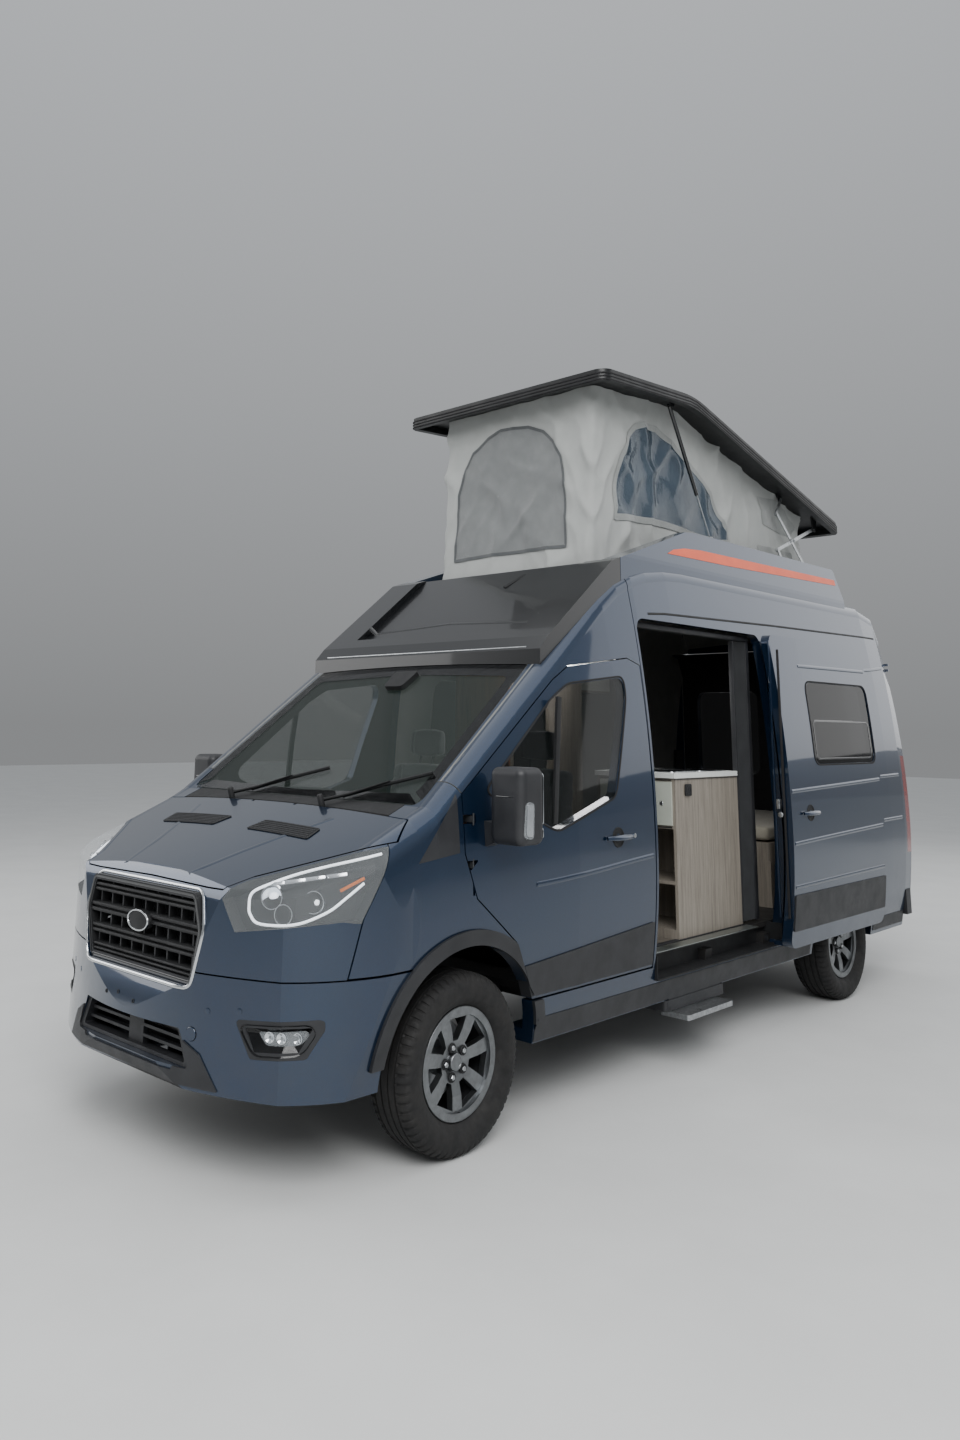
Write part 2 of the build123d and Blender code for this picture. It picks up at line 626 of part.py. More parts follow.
# Lower intake bars, fog lamp bezels with their lamps, and the skid plate lip
with BuildPart() as intake:
    add(front_block(spread(intake_outline, -1), -975, -925, 12))
    add(front_block([(338, 548), (395, 436), (-395, 436), (-338, 548)], -1000, -900, 8),
        mode=Mode.SUBTRACT)
    with BuildSketch(Plane.XZ.offset(-y_at(-930))):
        with GridLocations(0, 40, 1, 2):
            with Locations((0, 490)):
                Rectangle(760, 12)
        with Locations((0, 490)):
            Rectangle(110, 120)
        with BuildSketch(mode=Mode.INTERSECT):
            with BuildLine():
                Polyline(*spread(intake_outline, -8), close=True)
            make_face()
    extrude(amount=25)
with BuildPart() as fog_form:
    add(shell.part)
    add(front_block(spread(fog_outline, -seat_gap), -1150, -560, 13.7), mode=Mode.INTERSECT)
with BuildPart() as fog_pocket:
    add(body_form(-5))
    add(body_form(26), mode=Mode.SUBTRACT)
    add(front_block(spread(fog_outline, -26), -1150, -560, 6), mode=Mode.INTERSECT)
with BuildPart() as fog_bezels:
    add(fog_form.part)
    add(fog_pocket.part, mode=Mode.SUBTRACT)
    mirror(about=Plane.YZ)
with BuildPart() as skid_plate:
    add(body_form(-9))
    add(body_form(-seat_gap), mode=Mode.SUBTRACT)
    add(front_block([(470, 480), (388, 519), (335, 405), (-335, 405), (-388, 519), (-470, 480),
                     (-560, 360), (560, 360)], -1150, -760), mode=Mode.INTERSECT)
    add(front_block(intake_outline, -1150, -700, 14), mode=Mode.SUBTRACT)

# Mirror on its arm, riding on the front door
mirror_reach = 1237
with BuildPart() as mirror_left:
    add(box_block(1048, mirror_reach, 60, 225, 1238, 1562, 40))
    fillet(mirror_left.edges().group_by(Axis.Z)[-1], 34)
    fillet(mirror_left.edges().group_by(Axis.Z)[0], 34)
    add(front_block([(985, 1215), (985, 1330), (1080, 1320), (1080, 1250)], 95, 160, 10))
    add(body_form(-seat_gap), mode=Mode.SUBTRACT)

# Floor on its two rails and cross members
rail_inner, rail_outer = 470, 550
rail_low, rail_high = 450, 551
floor_low, floor_high = 560, 588
floor_half = 898
member_stations = [(150, 880), (760, 930), (1400, 930), (2080, 930), (2760, 930), (4330, 930), (4700, 930)]
with BuildPart() as floor_frame:
    add(box_block(-floor_half, floor_half, 445, 4862, floor_low, floor_high))
    add(box_block(-floor_half, floor_half, -128, 445, floor_low, floor_high))
    for side in (-1, 1):
        add(box_block(side * 510 - 40, side * 510 + 40, -640, 4800, rail_low, floor_low))
    for station, half in member_stations:
        add(box_block(-half, half, station - 35, station + 35, rail_low + 6, 530))
        add(box_block(-700, 700, station - 35, station + 35, 520, floor_low))
    add(inside_form, mode=Mode.INTERSECT)
    for behind in (0, wheelbase):
        for side in (-1, 1):
            low_side = 554.7 if behind == 0 else 705
            add(box_block(min(side * low_side, side * 1100), max(side * low_side, side * 1100),
                          behind - 470, behind + 470, 300, 700), mode=Mode.SUBTRACT)
    with Locations(*[(side * 510, y_at(4755 + step), rail_low) for side in (-1, 1) for step in (-25, 25)]):
        Hole(6.6, depth=60)

# Inner wheel boxes of the rear axle
with BuildPart() as wheel_boxes:
    add(box_block(706, 985, 3262, 4238, floor_high + seat_gap, 860, 90))
    add(box_block(721, 1000, 3277, 4223, 500, 845, 75), mode=Mode.SUBTRACT)
    add(inside_form, mode=Mode.INTERSECT)
    mirror(about=Plane.YZ)

# Wheels
def wheel_plane(x, behind):
    """Plane through a wheel's centre with x along its axle and y up."""
    return Plane(origin=(x, y_at(behind), tyre_radius), x_dir=(1, 0, 0), z_dir=(0, -1, 0))


def make_tyre(x, behind):
    """Tyre section turned round the axle."""
    half = tyre_width / 2
    seat = rim_width / 2 - rim_flange_thickness - seat_gap
    with BuildPart() as tyre:
        with BuildSketch(wheel_plane(x, behind)):
            with BuildLine():
                Line((-seat, bead_radius), (seat, bead_radius))
                Line((seat, bead_radius), (seat, rim_flange_radius + 4))
                ThreePointArc((seat, rim_flange_radius + 4), (half, 288), (half - 12, 338))
                Polyline((half - 12, 338), (half - 32, tyre_radius - 3), (60, tyre_radius), (-60, tyre_radius),
                         (-half + 32, tyre_radius - 3), (-half + 12, 338))
                ThreePointArc((-half + 12, 338), (-half, 288), (-seat, rim_flange_radius + 4))
                Line((-seat, rim_flange_radius + 4), (-seat, bead_radius))
            make_face()
        revolve(axis=Axis((x, y_at(behind), tyre_radius), (1, 0, 0)))
    return tyre


disc_face = 52
disc_thick = 26
window_inner = 84
window_outer = 176
bolt_circle = 160


def make_rim(x, behind, side):
    """Rim with its barrel, spokes, hub and brake disc; side is +1 on the van's left."""
    half = rim_width / 2
    face = side * disc_face
    with BuildPart() as rim:
        with BuildSketch(wheel_plane(x, behind)):
            with BuildLine():
                Polyline((-half, barrel_inner_radius), (-half, rim_flange_radius),
                         (-half + rim_flange_thickness, rim_flange_radius),
                         (-half + rim_flange_thickness, bead_radius - seat_gap),
                         (half - rim_flange_thickness, bead_radius - seat_gap),
                         (half - rim_flange_thickness, rim_flange_radius),
                         (half, rim_flange_radius), (half, barrel_inner_radius), close=True)
            make_face()
            with BuildLine():
                Polyline((face - side * disc_thick, 0), (face - side * 4, 0), (face - side * 4, 34),
                         (face - side * 10, 36), (face, 60), (face + side * 16, 130),
                         (face + side * 20, 192), (face - side * 10, 192),
                         (face - side * disc_thick, 60), close=True)
            make_face()
            with BuildLine():
                Polyline((face - side * disc_thick, hub_bore_radius), (face - side * disc_thick, 70),
                         (-side * 40, 70), (-side * 40, 150), (-side * 66, 150),
                         (-side * 66, hub_bore_radius), close=True)
            make_face()
        revolve(axis=Axis((x, y_at(behind), tyre_radius), (1, 0, 0)))
        with BuildSketch(Plane(origin=(x + side * 10, y_at(behind), tyre_radius), x_dir=(0, 1, 0),
                               z_dir=(side, 0, 0))):
            with PolarLocations(0, spoke_count, start_angle=90):
                Polygon((window_inner, -14), (window_outer, -52), (window_outer, 52),
                        (window_inner, 14), align=None)
        extrude(amount=120, mode=Mode.SUBTRACT)
    return rim


wheels = {}
for axle, (station, x_wheel) in wheel_stations.items():
    for side_name, side in (("left", 1), ("right", -1)):
        wheels["tyre_" + axle + "_" + side_name] = make_tyre(side * x_wheel, station)
        wheels["rim_" + axle + "_" + side_name] = make_rim(side * x_wheel, station, side)

# Steering knuckle with its spindle and caliper
knuckle_low, knuckle_high = 216, 560
engine_low = 405
with BuildPart() as knuckle_left:
    add(box_block(660, 736, -40, 40, knuckle_low, knuckle_high, 12))
    add(round_bar((736, 0, tyre_radius), (front_track / 2 + 18, 0, tyre_radius), spindle_radius))
    add(box_block(660, 700, -150, -30, 300, 330, 10))

# Front suspension: subframe, lower arms, strut legs and steering rack
with BuildPart() as front_suspension:
    add(box_block(-420, 420, -290, 160, 270, 330, 40))
    for side in (-1, 1):
        with BuildSketch(Plane.XY.offset(190)):
            with BuildLine():
                Polyline((side * 725, y_at(-30)), (side * 725, y_at(30)), (side * 400, y_at(150)),
                         (side * 400, y_at(-150)), close=True)
            make_face()
        extrude(amount=knuckle_low - seat_gap - 190)
        add(box_block(side * 410 - 25, side * 410 + 25, -140, 140, 200, 300))
        add(box_block(side * 220 - 40, side * 220 + 40, -285, -205, 320, engine_low - seat_gap))
        add(round_bar((side * kingpin_x, 0, knuckle_high + seat_gap), (side * kingpin_x, 0, 900), 26))
        add(round_bar((side * kingpin_x, 0, 640), (side * kingpin_x, 0, 880), 44))
        add(box_block(side * 640 - 90, side * 640 + 90, -70, 70, 895, 925, 30))
        add(box_block(side * 575 - 20, side * 575 + 20, -60, 60, 530, 900))
        add(box_block(side * 500 - 45, side * 500 + 45, -60, 60, 330, rail_low - seat_gap))
    add(round_bar((-420, 190, 300), (420, 190, 300), 24))
    add(box_block(-420, 420, 150, 190, 285, 315))

# Front cross beam behind the bumper with the towing-eye socket
with BuildPart() as crash_beam:
    add(box_block(-500, 500, -885, -825, 500, 600, 12))
    add(box_block(-550, -470, -840, -640, 480, 550))
    add(box_block(470, 550, -840, -640, 480, 550))
    add(round_bar((tow_x, tow_mouth, tow_z), (tow_x, tow_mouth + 76, tow_z), 16))
    add(round_bar((tow_x, tow_mouth - 1, tow_z), (tow_x, tow_mouth + 60, tow_z), 8), mode=Mode.SUBTRACT)

# Engine as one plain block on the subframe
with BuildPart() as engine_block:
    add(box_block(-330, 330, -600, -190, engine_low, 1120, 30))

# Rear axle beam on its leaf springs
axle_tube = 48
with BuildPart() as rear_axle:
    with BuildSketch(wheel_plane(0, wheelbase)):
        with BuildLine():
            axle_end = rear_track / 2 + 18
            Polyline((140, axle_tube), (735, axle_tube), (735, spindle_radius), (axle_end, spindle_radius),
                     (axle_end, 0), (-axle_end, 0), (-axle_end, spindle_radius), (-735, spindle_radius),
                     (-735, axle_tube), (-140, axle_tube))
            ThreePointArc((-140, axle_tube), (0, 138), (140, axle_tube))
        make_face()
    revolve(axis=Axis((0, y_at(wheelbase), tyre_radius), (1, 0, 0)))
    for side in (-1, 1):
        with BuildSketch(Plane.YZ.offset(side * 510 - 35)):
            with BuildLine():
                ThreePointArc((y_at(wheelbase - 640), 425), (y_at(wheelbase), 392), (y_at(wheelbase + 640), 425))
                Line((y_at(wheelbase + 640), 425), (y_at(wheelbase + 640), 449.7))
                ThreePointArc((y_at(wheelbase + 640), 449.7), (y_at(wheelbase), 421), (y_at(wheelbase - 640), 449.7))
                Line((y_at(wheelbase - 640), 449.7), (y_at(wheelbase - 640), 425))
            make_face()
        extrude(amount=70)

# Fuel tank and exhaust under the floor
with BuildPart() as fuel_tank:
    add(box_block(-440, -60, 780, 1390, 300, rail_low + 5.7, 40))
with BuildPart() as exhaust:
    add(round_bar((250, 300, 378), (250, 3000, 378), 30))
    add(round_bar((250, 2000, 378), (250, 2700, 378), 72))
    add(box_block(235, 265, 2730, 2790, 378, rail_low + 5.7))

# Side step housing under the sill
with BuildPart() as side_step:
    add(box_block(700, 968, 1560, 2160, 290, 344.7, 20))
    add(box_block(905, 1075, 1600, 2060, 262, 288, 12))
    add(box_block(905, 960, 1640, 2020, 288, 291))

# Dashboard, steering wheel on the van's right, and the two cab seats
dash_side = [(-131.7, 1060), (-131.7, 1325), (60, 1330), (330, 1230), (370, 1120), (300, 900), (120, 850), (0, 1060)]
with BuildPart() as dashboard:
    add(side_block(dash_side, -wide, wide, 20))
    add(inside_form, mode=Mode.INTERSECT)
    add(box_block(-885, 885, -500, 600, 700, 1500), mode=Mode.INTERSECT)
wheel_x = -430
column_tilt = 24
column_top = (wheel_x, 470, 1205)
column_dir = (0, cos(radians(column_tilt)), sin(radians(column_tilt)))
column_base = (wheel_x, 300, 1205 - 170 * sin(radians(column_tilt)) / cos(radians(column_tilt)))
steer_plane = Plane(origin=(column_top[0], y_at(column_top[1]), column_top[2]), x_dir=(1, 0, 0), z_dir=column_dir)
with BuildPart() as dash_column:
    add(dashboard.part)
    add(round_bar(column_base, (wheel_x, 470 - 30 * column_dir[1], 1205 - 30 * column_dir[2]), 34))
steering_radius = 190
with BuildPart() as steering_wheel:
    with BuildSketch(Plane(origin=steer_plane.origin, x_dir=(1, 0, 0), z_dir=steer_plane.y_dir)):
        with Locations((steering_radius, 0)):
            Circle(15)
    revolve(axis=Axis(steer_plane.origin, column_dir))
    with BuildSketch(steer_plane.offset(-12)):
        Circle(62)
        Rectangle(2 * steering_radius, 34)
        with Locations((0, -steering_radius / 2)):
            Rectangle(34, steering_radius)
    extrude(amount=18)
    with BuildSketch(steer_plane.offset(-29.7)):
        Circle(26)
    extrude(amount=20)

seat_width = 480
with BuildPart() as cab_seats:
    for side in (-1, 1):
        mid = side * 430
        add(box_block(mid - 210, mid + 210, 640, 1080, floor_high + seat_gap, 850, 30))
        add(side_block([(590, 850), (600, 985), (1010, 960), (1130, 1500), (1225, 1500), (1150, 850)],
                       mid - seat_width / 2, mid + seat_width / 2, 30))
        add(side_block([(1150, 1500), (1165, 1720), (1240, 1720), (1215, 1500)], mid - 130, mid + 130, 20))

# Kitchen beside the side opening, tall cupboards opposite, bench and bed base behind
kitchen_front, kitchen_rear = 1880, 2599.7
kitchen_inner, kitchen_outer = 330, 862
worktop_z = 1488
with BuildPart() as kitchen_unit:
    add(box_block(kitchen_inner, kitchen_outer, kitchen_front, kitchen_rear, floor_high + seat_gap, worktop_z - 28))
    add(box_block(kitchen_inner + 18, kitchen_outer - 18, kitchen_front - 10, kitchen_front + 360, 640, 1180),
        mode=Mode.SUBTRACT)
    add(box_block(kitchen_inner + 18, kitchen_outer - 18, kitchen_front, kitchen_front + 360, 880, 898))
    add(box_block(kitchen_inner - 12, kitchen_outer + 4, kitchen_front - 12, kitchen_rear, worktop_z - 28, worktop_z))
    add(box_block(kitchen_inner + 30, kitchen_outer - 20, kitchen_front - 14, kitchen_front, 1200, 1440))
    add(inside_form, mode=Mode.INTERSECT)
with BuildPart() as tall_unit:
    add(box_block(-1000, -380, 1900, 2700, floor_high + seat_gap, 2560))
    add(box_block(-1000, -520, 2700, 3250, 2000, 2560))
    add(inside_form, mode=Mode.INTERSECT)
    add(side_block(spread(right_window, 30), -1000, -840), mode=Mode.SUBTRACT)
with BuildPart() as rear_bed:
    add(box_block(-700, 700, 3300, 4780, 880, 1000, 30))
    add(box_block(-700, 700, 3300, 3330, floor_high + seat_gap, 880))
    add(box_block(-700, -670, 3300, 4780, floor_high + seat_gap, 880))
    add(box_block(670, 700, 3300, 4780, floor_high + seat_gap, 880))
with BuildPart() as mattress:
    add(box_block(-690, 690, 3310, 4770, 1000 + seat_gap, 1110, 60))
with BuildPart() as flyscreen:
    for fold in range(5):
        add(box_block(846 - (fold % 2) * 14, 872 - (fold % 2) * 14, 2600 + fold * 30, 2630 + fold * 30, 600, 2290))
    add(box_block(835, 862, 1500, 2790, 2290, 2318))
    add(inside_form, mode=Mode.INTERSECT)

# Pop-up roof lid, tent and lifting gear, drawn with the roof up
lid_front, lid_shoulder, lid_tail = (1350, 3785), (2360, 3850), (4490, 3310)
lid_half = 800
lid_rim = 70
lid_skin = 25
shoulder_radius = 900


def corner_arc(before, corner, after, radius):
    """Start, middle and end of the arc that rounds a corner of an outline."""
    back = (Vector(*before) - Vector(*corner)).normalized()
    ahead = (Vector(*after) - Vector(*corner)).normalized()
    half_angle = radians(back.get_angle(ahead)) / 2
    reach = radius * cos(half_angle) / sin(half_angle)
    middle = Vector(*corner) + (back + ahead).normalized() * (radius / sin(half_angle) - radius)
    return Vector(*corner) + back * reach, middle, Vector(*corner) + ahead * reach


def lid_profile(drop, trim, x_from, x_to, floor_drop):
    """Block under the lid's cranked top line, lowered by drop and trimmed at both ends."""
    top = [(y_at(lid_front[0] + trim), lid_front[1] - drop), (y_at(lid_shoulder[0]), lid_shoulder[1] - drop),
           (y_at(lid_tail[0] - trim), lid_tail[1] - drop + trim * 0.25)]
    low = [(y_at(lid_tail[0] - trim - 16), lid_tail[1] - floor_drop + trim * 0.25),
           (y_at(lid_shoulder[0] - 8), lid_shoulder[1] - floor_drop),
           (y_at(lid_front[0] + trim + 5), lid_front[1] - floor_drop)]
    arc_top = corner_arc(*top, shoulder_radius)
    arc_low = corner_arc(*low, shoulder_radius)
    with BuildPart() as block:
        with BuildSketch(Plane.YZ.offset(x_from)):
            with BuildLine():
                Line(top[0], arc_top[0])
                ThreePointArc(*arc_top)
                Polyline(arc_top[2], top[2], low[0], arc_low[0])
                ThreePointArc(*arc_low)
                Polyline(arc_low[2], low[2], top[0])
            make_face()
        extrude(amount=x_to - x_from)
    return block.part


# Scissor joints in the side view with the roof up: foot, crossing, elbow, lid pin,
# lower end, lid bracket, lower bracket, and the gas strut's two eyes
foot_pin = (4365, 2760)
cross_pin = (3903, 3123)
elbow_pin = (3713, 3300)
lid_pin = (4266, 3262)
lower_pin = (3653, 3024)
upper_bracket = (3807, 3428)
lower_bracket = (3820, 2775)
strut_upper = (2209, 3775)
strut_lower = (2775, 2775)
layer_start, layer_pitch, bar_thick = 641, 12, 6
bar_half = 13
pin_radius = 6
pin_clear = 0.3
strut_x = 700


def layer_x(layer):
    """Inner face of one of the flat layers of the lifting gear."""
    return layer_start + layer * layer_pitch


def flat_bar(start, end, layer):
    """Flat bar with round ends between two joints, in one layer."""
    run = Vector(0, end[0] - start[0], end[1] - start[1])
    place = Plane(origin=(layer_x(layer), y_at(start[0]), start[1]), x_dir=run, z_dir=(1, 0, 0))
    with BuildPart() as bar:
        with BuildSketch(place):
            with Locations((run.length / 2, 0)):
                SlotCenterToCenter(run.length, 2 * bar_half)
        extrude(amount=bar_thick)
    return bar.part


def cross_bar(joint, x_from, x_to, radius):
    """Round pin or hole along x at a joint of the lifting gear."""
    return round_bar((x_from, joint[0], joint[1]), (x_to, joint[0], joint[1]), radius)


def plate(outline, layer):
    """Flat bracket in one layer."""
    return side_block(outline, layer_x(layer), layer_x(layer) + bar_thick)


hole = pin_radius + pin_clear
with BuildPart() as arm_a_left:
    add(flat_bar(foot_pin, elbow_pin, 2))
    add(cross_bar(cross_pin, layer_x(2), layer_x(3) + bar_thick + 1, pin_radius))
    add(cross_bar(foot_pin, layer_x(1), layer_x(2) + 1, pin_radius))
    add(cross_bar(elbow_pin, layer_x(1), layer_x(2) + 1, pin_radius))
with BuildPart() as arm_b_left:
    add(flat_bar(lower_pin, lid_pin, 3))
    add(cross_bar(cross_pin, layer_x(2) - 5, layer_x(4) + 5, hole), mode=Mode.SUBTRACT)
    add(cross_bar(lower_pin, layer_x(3), layer_x(4) + bar_thick, pin_radius))
    add(cross_bar(lid_pin, layer_x(3), layer_x(4) + bar_thick, pin_radius))
with BuildPart() as link_top_left:
    add(flat_bar(elbow_pin, upper_bracket, 1))
    add(cross_bar(elbow_pin, layer_x(0), layer_x(2), hole), mode=Mode.SUBTRACT)
with BuildPart() as link_low_left:
    add(flat_bar(lower_pin, lower_bracket, 4))
    add(cross_bar(lower_pin, layer_x(3), layer_x(5), hole), mode=Mode.SUBTRACT)
lift_parts = {}
for lift_name, lift_part in (("lift_arm_lower", arm_a_left), ("lift_arm_upper", arm_b_left),
                             ("lift_link_top", link_top_left), ("lift_link_low", link_low_left)):
    with BuildPart() as pair:
        add(lift_part.part)
        mirror(about=Plane.YZ)
    lift_parts[lift_name] = pair

strut_run = Vector(0, strut_lower[0] - strut_upper[0], strut_lower[1] - strut_upper[1])
cylinder_length = 620
strut_eye_radius = 11
strut_pin_radius = 5


def along_strut(distance):
    """Point on the left strut's line, a distance from its upper eye."""
    step = strut_run.normalized() * distance
    return (strut_x, strut_upper[0] + step.Y, strut_upper[1] + step.Z)


with BuildPart() as strut_cylinder:
    add(round_bar(along_strut(8), along_strut(cylinder_length), 13))
    add(cross_bar(strut_upper, strut_x - 8, strut_x + 8, strut_eye_radius))
    add(cross_bar(strut_upper, strut_x - 20, strut_x + 20, strut_pin_radius + pin_clear), mode=Mode.SUBTRACT)
    add(round_bar(along_strut(150), along_strut(cylinder_length + 10), 6), mode=Mode.SUBTRACT)
    mirror(about=Plane.YZ)
with BuildPart() as strut_rod:
    add(round_bar(along_strut(cylinder_length - 50), along_strut(strut_run.length - 4), 5))
    add(cross_bar(strut_lower, strut_x - 8, strut_x + 8, strut_eye_radius))
    mirror(about=Plane.YZ)

# Slot in the lid's bracket for the free end of the upper arm, which wanders on the way down
slot_wander = (-9, 7.2)
with BuildPart() as lid_slot:
    slot_run = Vector(0, *slot_wander)
    with BuildSketch(Plane(origin=(layer_x(4) - 3, y_at(lid_pin[0] + 0.3 + slot_wander[0] / 2),
                                   lid_pin[1] - 0.6 + slot_wander[1] / 2), x_dir=slot_run, z_dir=(1, 0, 0))):
        SlotCenterToCenter(slot_run.length, 2 * (pin_radius + 0.8))
    extrude(amount=12)

with BuildPart() as lid:
    add(lid_profile(0, 0, -lid_half, lid_half, lid_rim))
    add(box_block(-lid_half, lid_half, lid_front[0], lid_tail[0], 3000, 4000, 75), mode=Mode.INTERSECT)
    add(lid_profile(lid_skin, 45, -lid_half + 45, lid_half - 45, 260), mode=Mode.SUBTRACT)
    for x_plate in (layer_x(4), -layer_x(4) - bar_thick):
        add(side_block([(4216, 3365), (4316, 3340), (4286, 3245), (4246, 3245)], x_plate, x_plate + bar_thick))
    for x_plate in (layer_x(0), -layer_x(0) - bar_thick):
        add(side_block([(3757, 3482), (3857, 3458), (3824, 3412), (3790, 3412)], x_plate, x_plate + bar_thick))
    for x_plate in (strut_x + 17, -strut_x - 17 - bar_thick):
        add(side_block([(2160, 3822), (2260, 3826), (2224, 3760), (2194, 3760)], x_plate, x_plate + bar_thick))
    for side in (-1, 1):
        pin_from, pin_to = sorted((side * (strut_x - 8), side * (strut_x + 20)))
        add(cross_bar(strut_upper, pin_from, pin_to, strut_pin_radius))
    add(lid_slot.part, mode=Mode.SUBTRACT)
    mirror(lid_slot.part, about=Plane.YZ, mode=Mode.SUBTRACT)

# Brackets on the roof under the lifting gear
with BuildPart() as roof_brackets:
    add(plate([(4315, 2600), (4440, 2600), (4395, 2785), (4335, 2785)], 1))
    add(plate([(3760, 2600), (3880, 2600), (3845, 2795), (3795, 2795)], 5))
    add(side_block([(2730, 2600), (2820, 2600), (2795, 2795), (2755, 2795)], strut_x + 17, strut_x + 23))
    add(box_block(640, 712, 4315, 4440, 2600, 2712, 8))
    add(box_block(690, 735, 3760, 3880, 2600, 2712, 8))
    add(box_block(690, 735, 2730, 2820, 2600, 2712, 8))
    add(cross_bar(foot_pin, layer_x(0), layer_x(2) - 1, hole), mode=Mode.SUBTRACT)
    add(body_form(-seat_gap), mode=Mode.SUBTRACT)
    mirror(about=Plane.YZ)

tent_half = 610
tent_wall = 8
tent_outline = [(1452, 2500), (1520, 3900), (4236, 3900), (4210, 2500)]
tent_inner = [(1460, 2400), (1528, 4000), (4228, 4000), (4202, 2400)]
with BuildPart() as tent:
    add(side_block(tent_outline, -tent_half, tent_half))
    add(lid_profile(lid_skin + seat_gap, 60, -tent_half, tent_half, 1900), mode=Mode.INTERSECT)
    add(side_block(tent_inner, -tent_half + tent_wall, tent_half - tent_wall), mode=Mode.SUBTRACT)
    add(body_form(-seat_gap), mode=Mode.SUBTRACT)

# Pieces that share a node because they are one kind of part
with BuildPart() as wings:
    add(wing_left.part)
    mirror(about=Plane.YZ)
with BuildPart() as fixed_glass:
    for pane in (windscreen, side_glass, sliding_glass):
        add(pane.part)
with BuildPart() as bumper_inserts:
    for insert in (intake, fog_bezels, skid_plate):
        add(insert.part)
with BuildPart() as body_trims:
    for trim in (corner_trims, arch_trims, side_step):
        add(trim.part)
with BuildPart() as inner_panels:
    for panel in (firewall, wheel_boxes):
        add(panel.part)
    add(door_hinge.part)
    mirror(door_hinge.part, about=Plane.YZ)
with BuildPart() as chassis:
    for beam in (floor_frame, crash_beam):
        add(beam.part)
with BuildPart() as tank_and_exhaust:
    for piece in (fuel_tank, exhaust):
        add(piece.part)
with BuildPart() as rear_furniture:
    for unit in (tall_unit, rear_bed):
        add(unit.part)

# Every piece with its node name
nodes = {
    "cab_frame": cab_frame, "fixed_glass": fixed_glass, "inner_panels": inner_panels,
    "bonnet": bonnet, "wings": wings, "body_trims": body_trims, "nose_panel": nose_panel,
    "headlamps": headlamps, "front_bumper": front_bumper, "grille": grille,
    "bumper_inserts": bumper_inserts, "front_door_left": front_door_clad,
    "door_glass_left": door_glass_left, "mirror_left": mirror_left, "side_left": side_left_open,
    "side_right": side_right_open, "sliding_door": sliding_door_clad,
    "rear_door_left": rear_door_left, "rear_glass_left": rear_glass_left,
    "tail_lamps": tail_lamps, "rear_bumper": rear_bumper, "roof_shell": roof_shell,
    "roof_cap": roof_cap, "roof_fairings": roof_fairings, "roof_brackets": roof_brackets,
    "lid": lid, "tent": tent, "strut_cylinder": strut_cylinder, "strut_rod": strut_rod,
    "chassis": chassis, "knuckle_left": knuckle_left, "front_suspension": front_suspension,
    "engine_block": engine_block, "rear_axle": rear_axle, "tank_and_exhaust": tank_and_exhaust,
    "dashboard": dash_column, "steering_wheel": steering_wheel, "cab_seats": cab_seats,
    "kitchen_unit": kitchen_unit, "rear_furniture": rear_furniture, "mattress": mattress,
    "flyscreen": flyscreen,
}
nodes.update(lift_parts)
nodes.update(wheels)
for twin in ("front_door", "door_glass", "mirror", "rear_door", "rear_glass", "knuckle"):
    with BuildPart() as right_twin:
        mirror(nodes[twin + "_left"].part, about=Plane.YZ)
    nodes[twin + "_right"] = right_twin
for node_name, node in nodes.items():
    node.part.label = node_name
    export_step(node.part, f"parts/{node_name}.step")
print(len(nodes), "nodes written")
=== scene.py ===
"""Looks of the camper van: materials, soft goods, tyres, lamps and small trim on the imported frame."""
import math
import bmesh
import bpy
from mathutils import Matrix, Vector
from mathutils.bvhtree import BVHTree

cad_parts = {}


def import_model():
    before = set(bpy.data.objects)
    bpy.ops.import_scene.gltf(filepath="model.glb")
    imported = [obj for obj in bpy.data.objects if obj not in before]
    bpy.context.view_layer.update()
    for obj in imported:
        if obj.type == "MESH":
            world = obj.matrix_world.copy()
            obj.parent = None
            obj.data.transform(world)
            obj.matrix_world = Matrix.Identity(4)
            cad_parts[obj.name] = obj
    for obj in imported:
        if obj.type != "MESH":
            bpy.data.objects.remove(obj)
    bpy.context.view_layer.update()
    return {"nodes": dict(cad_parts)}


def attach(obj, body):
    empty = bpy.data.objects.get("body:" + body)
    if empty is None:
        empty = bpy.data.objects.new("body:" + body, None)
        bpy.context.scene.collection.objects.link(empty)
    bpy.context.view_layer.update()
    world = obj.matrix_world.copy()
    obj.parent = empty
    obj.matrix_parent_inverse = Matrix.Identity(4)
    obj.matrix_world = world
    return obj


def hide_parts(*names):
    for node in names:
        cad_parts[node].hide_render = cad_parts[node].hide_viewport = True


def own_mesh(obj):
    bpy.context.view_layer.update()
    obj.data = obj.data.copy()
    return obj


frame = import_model()
NODES = frame["nodes"]
AXLE_Y = -1.9675


def P(x, behind, up):
    """Point from millimetres: to the left, behind the front axle, up."""
    return Vector((x / 1000, behind / 1000 + AXLE_Y, up / 1000))


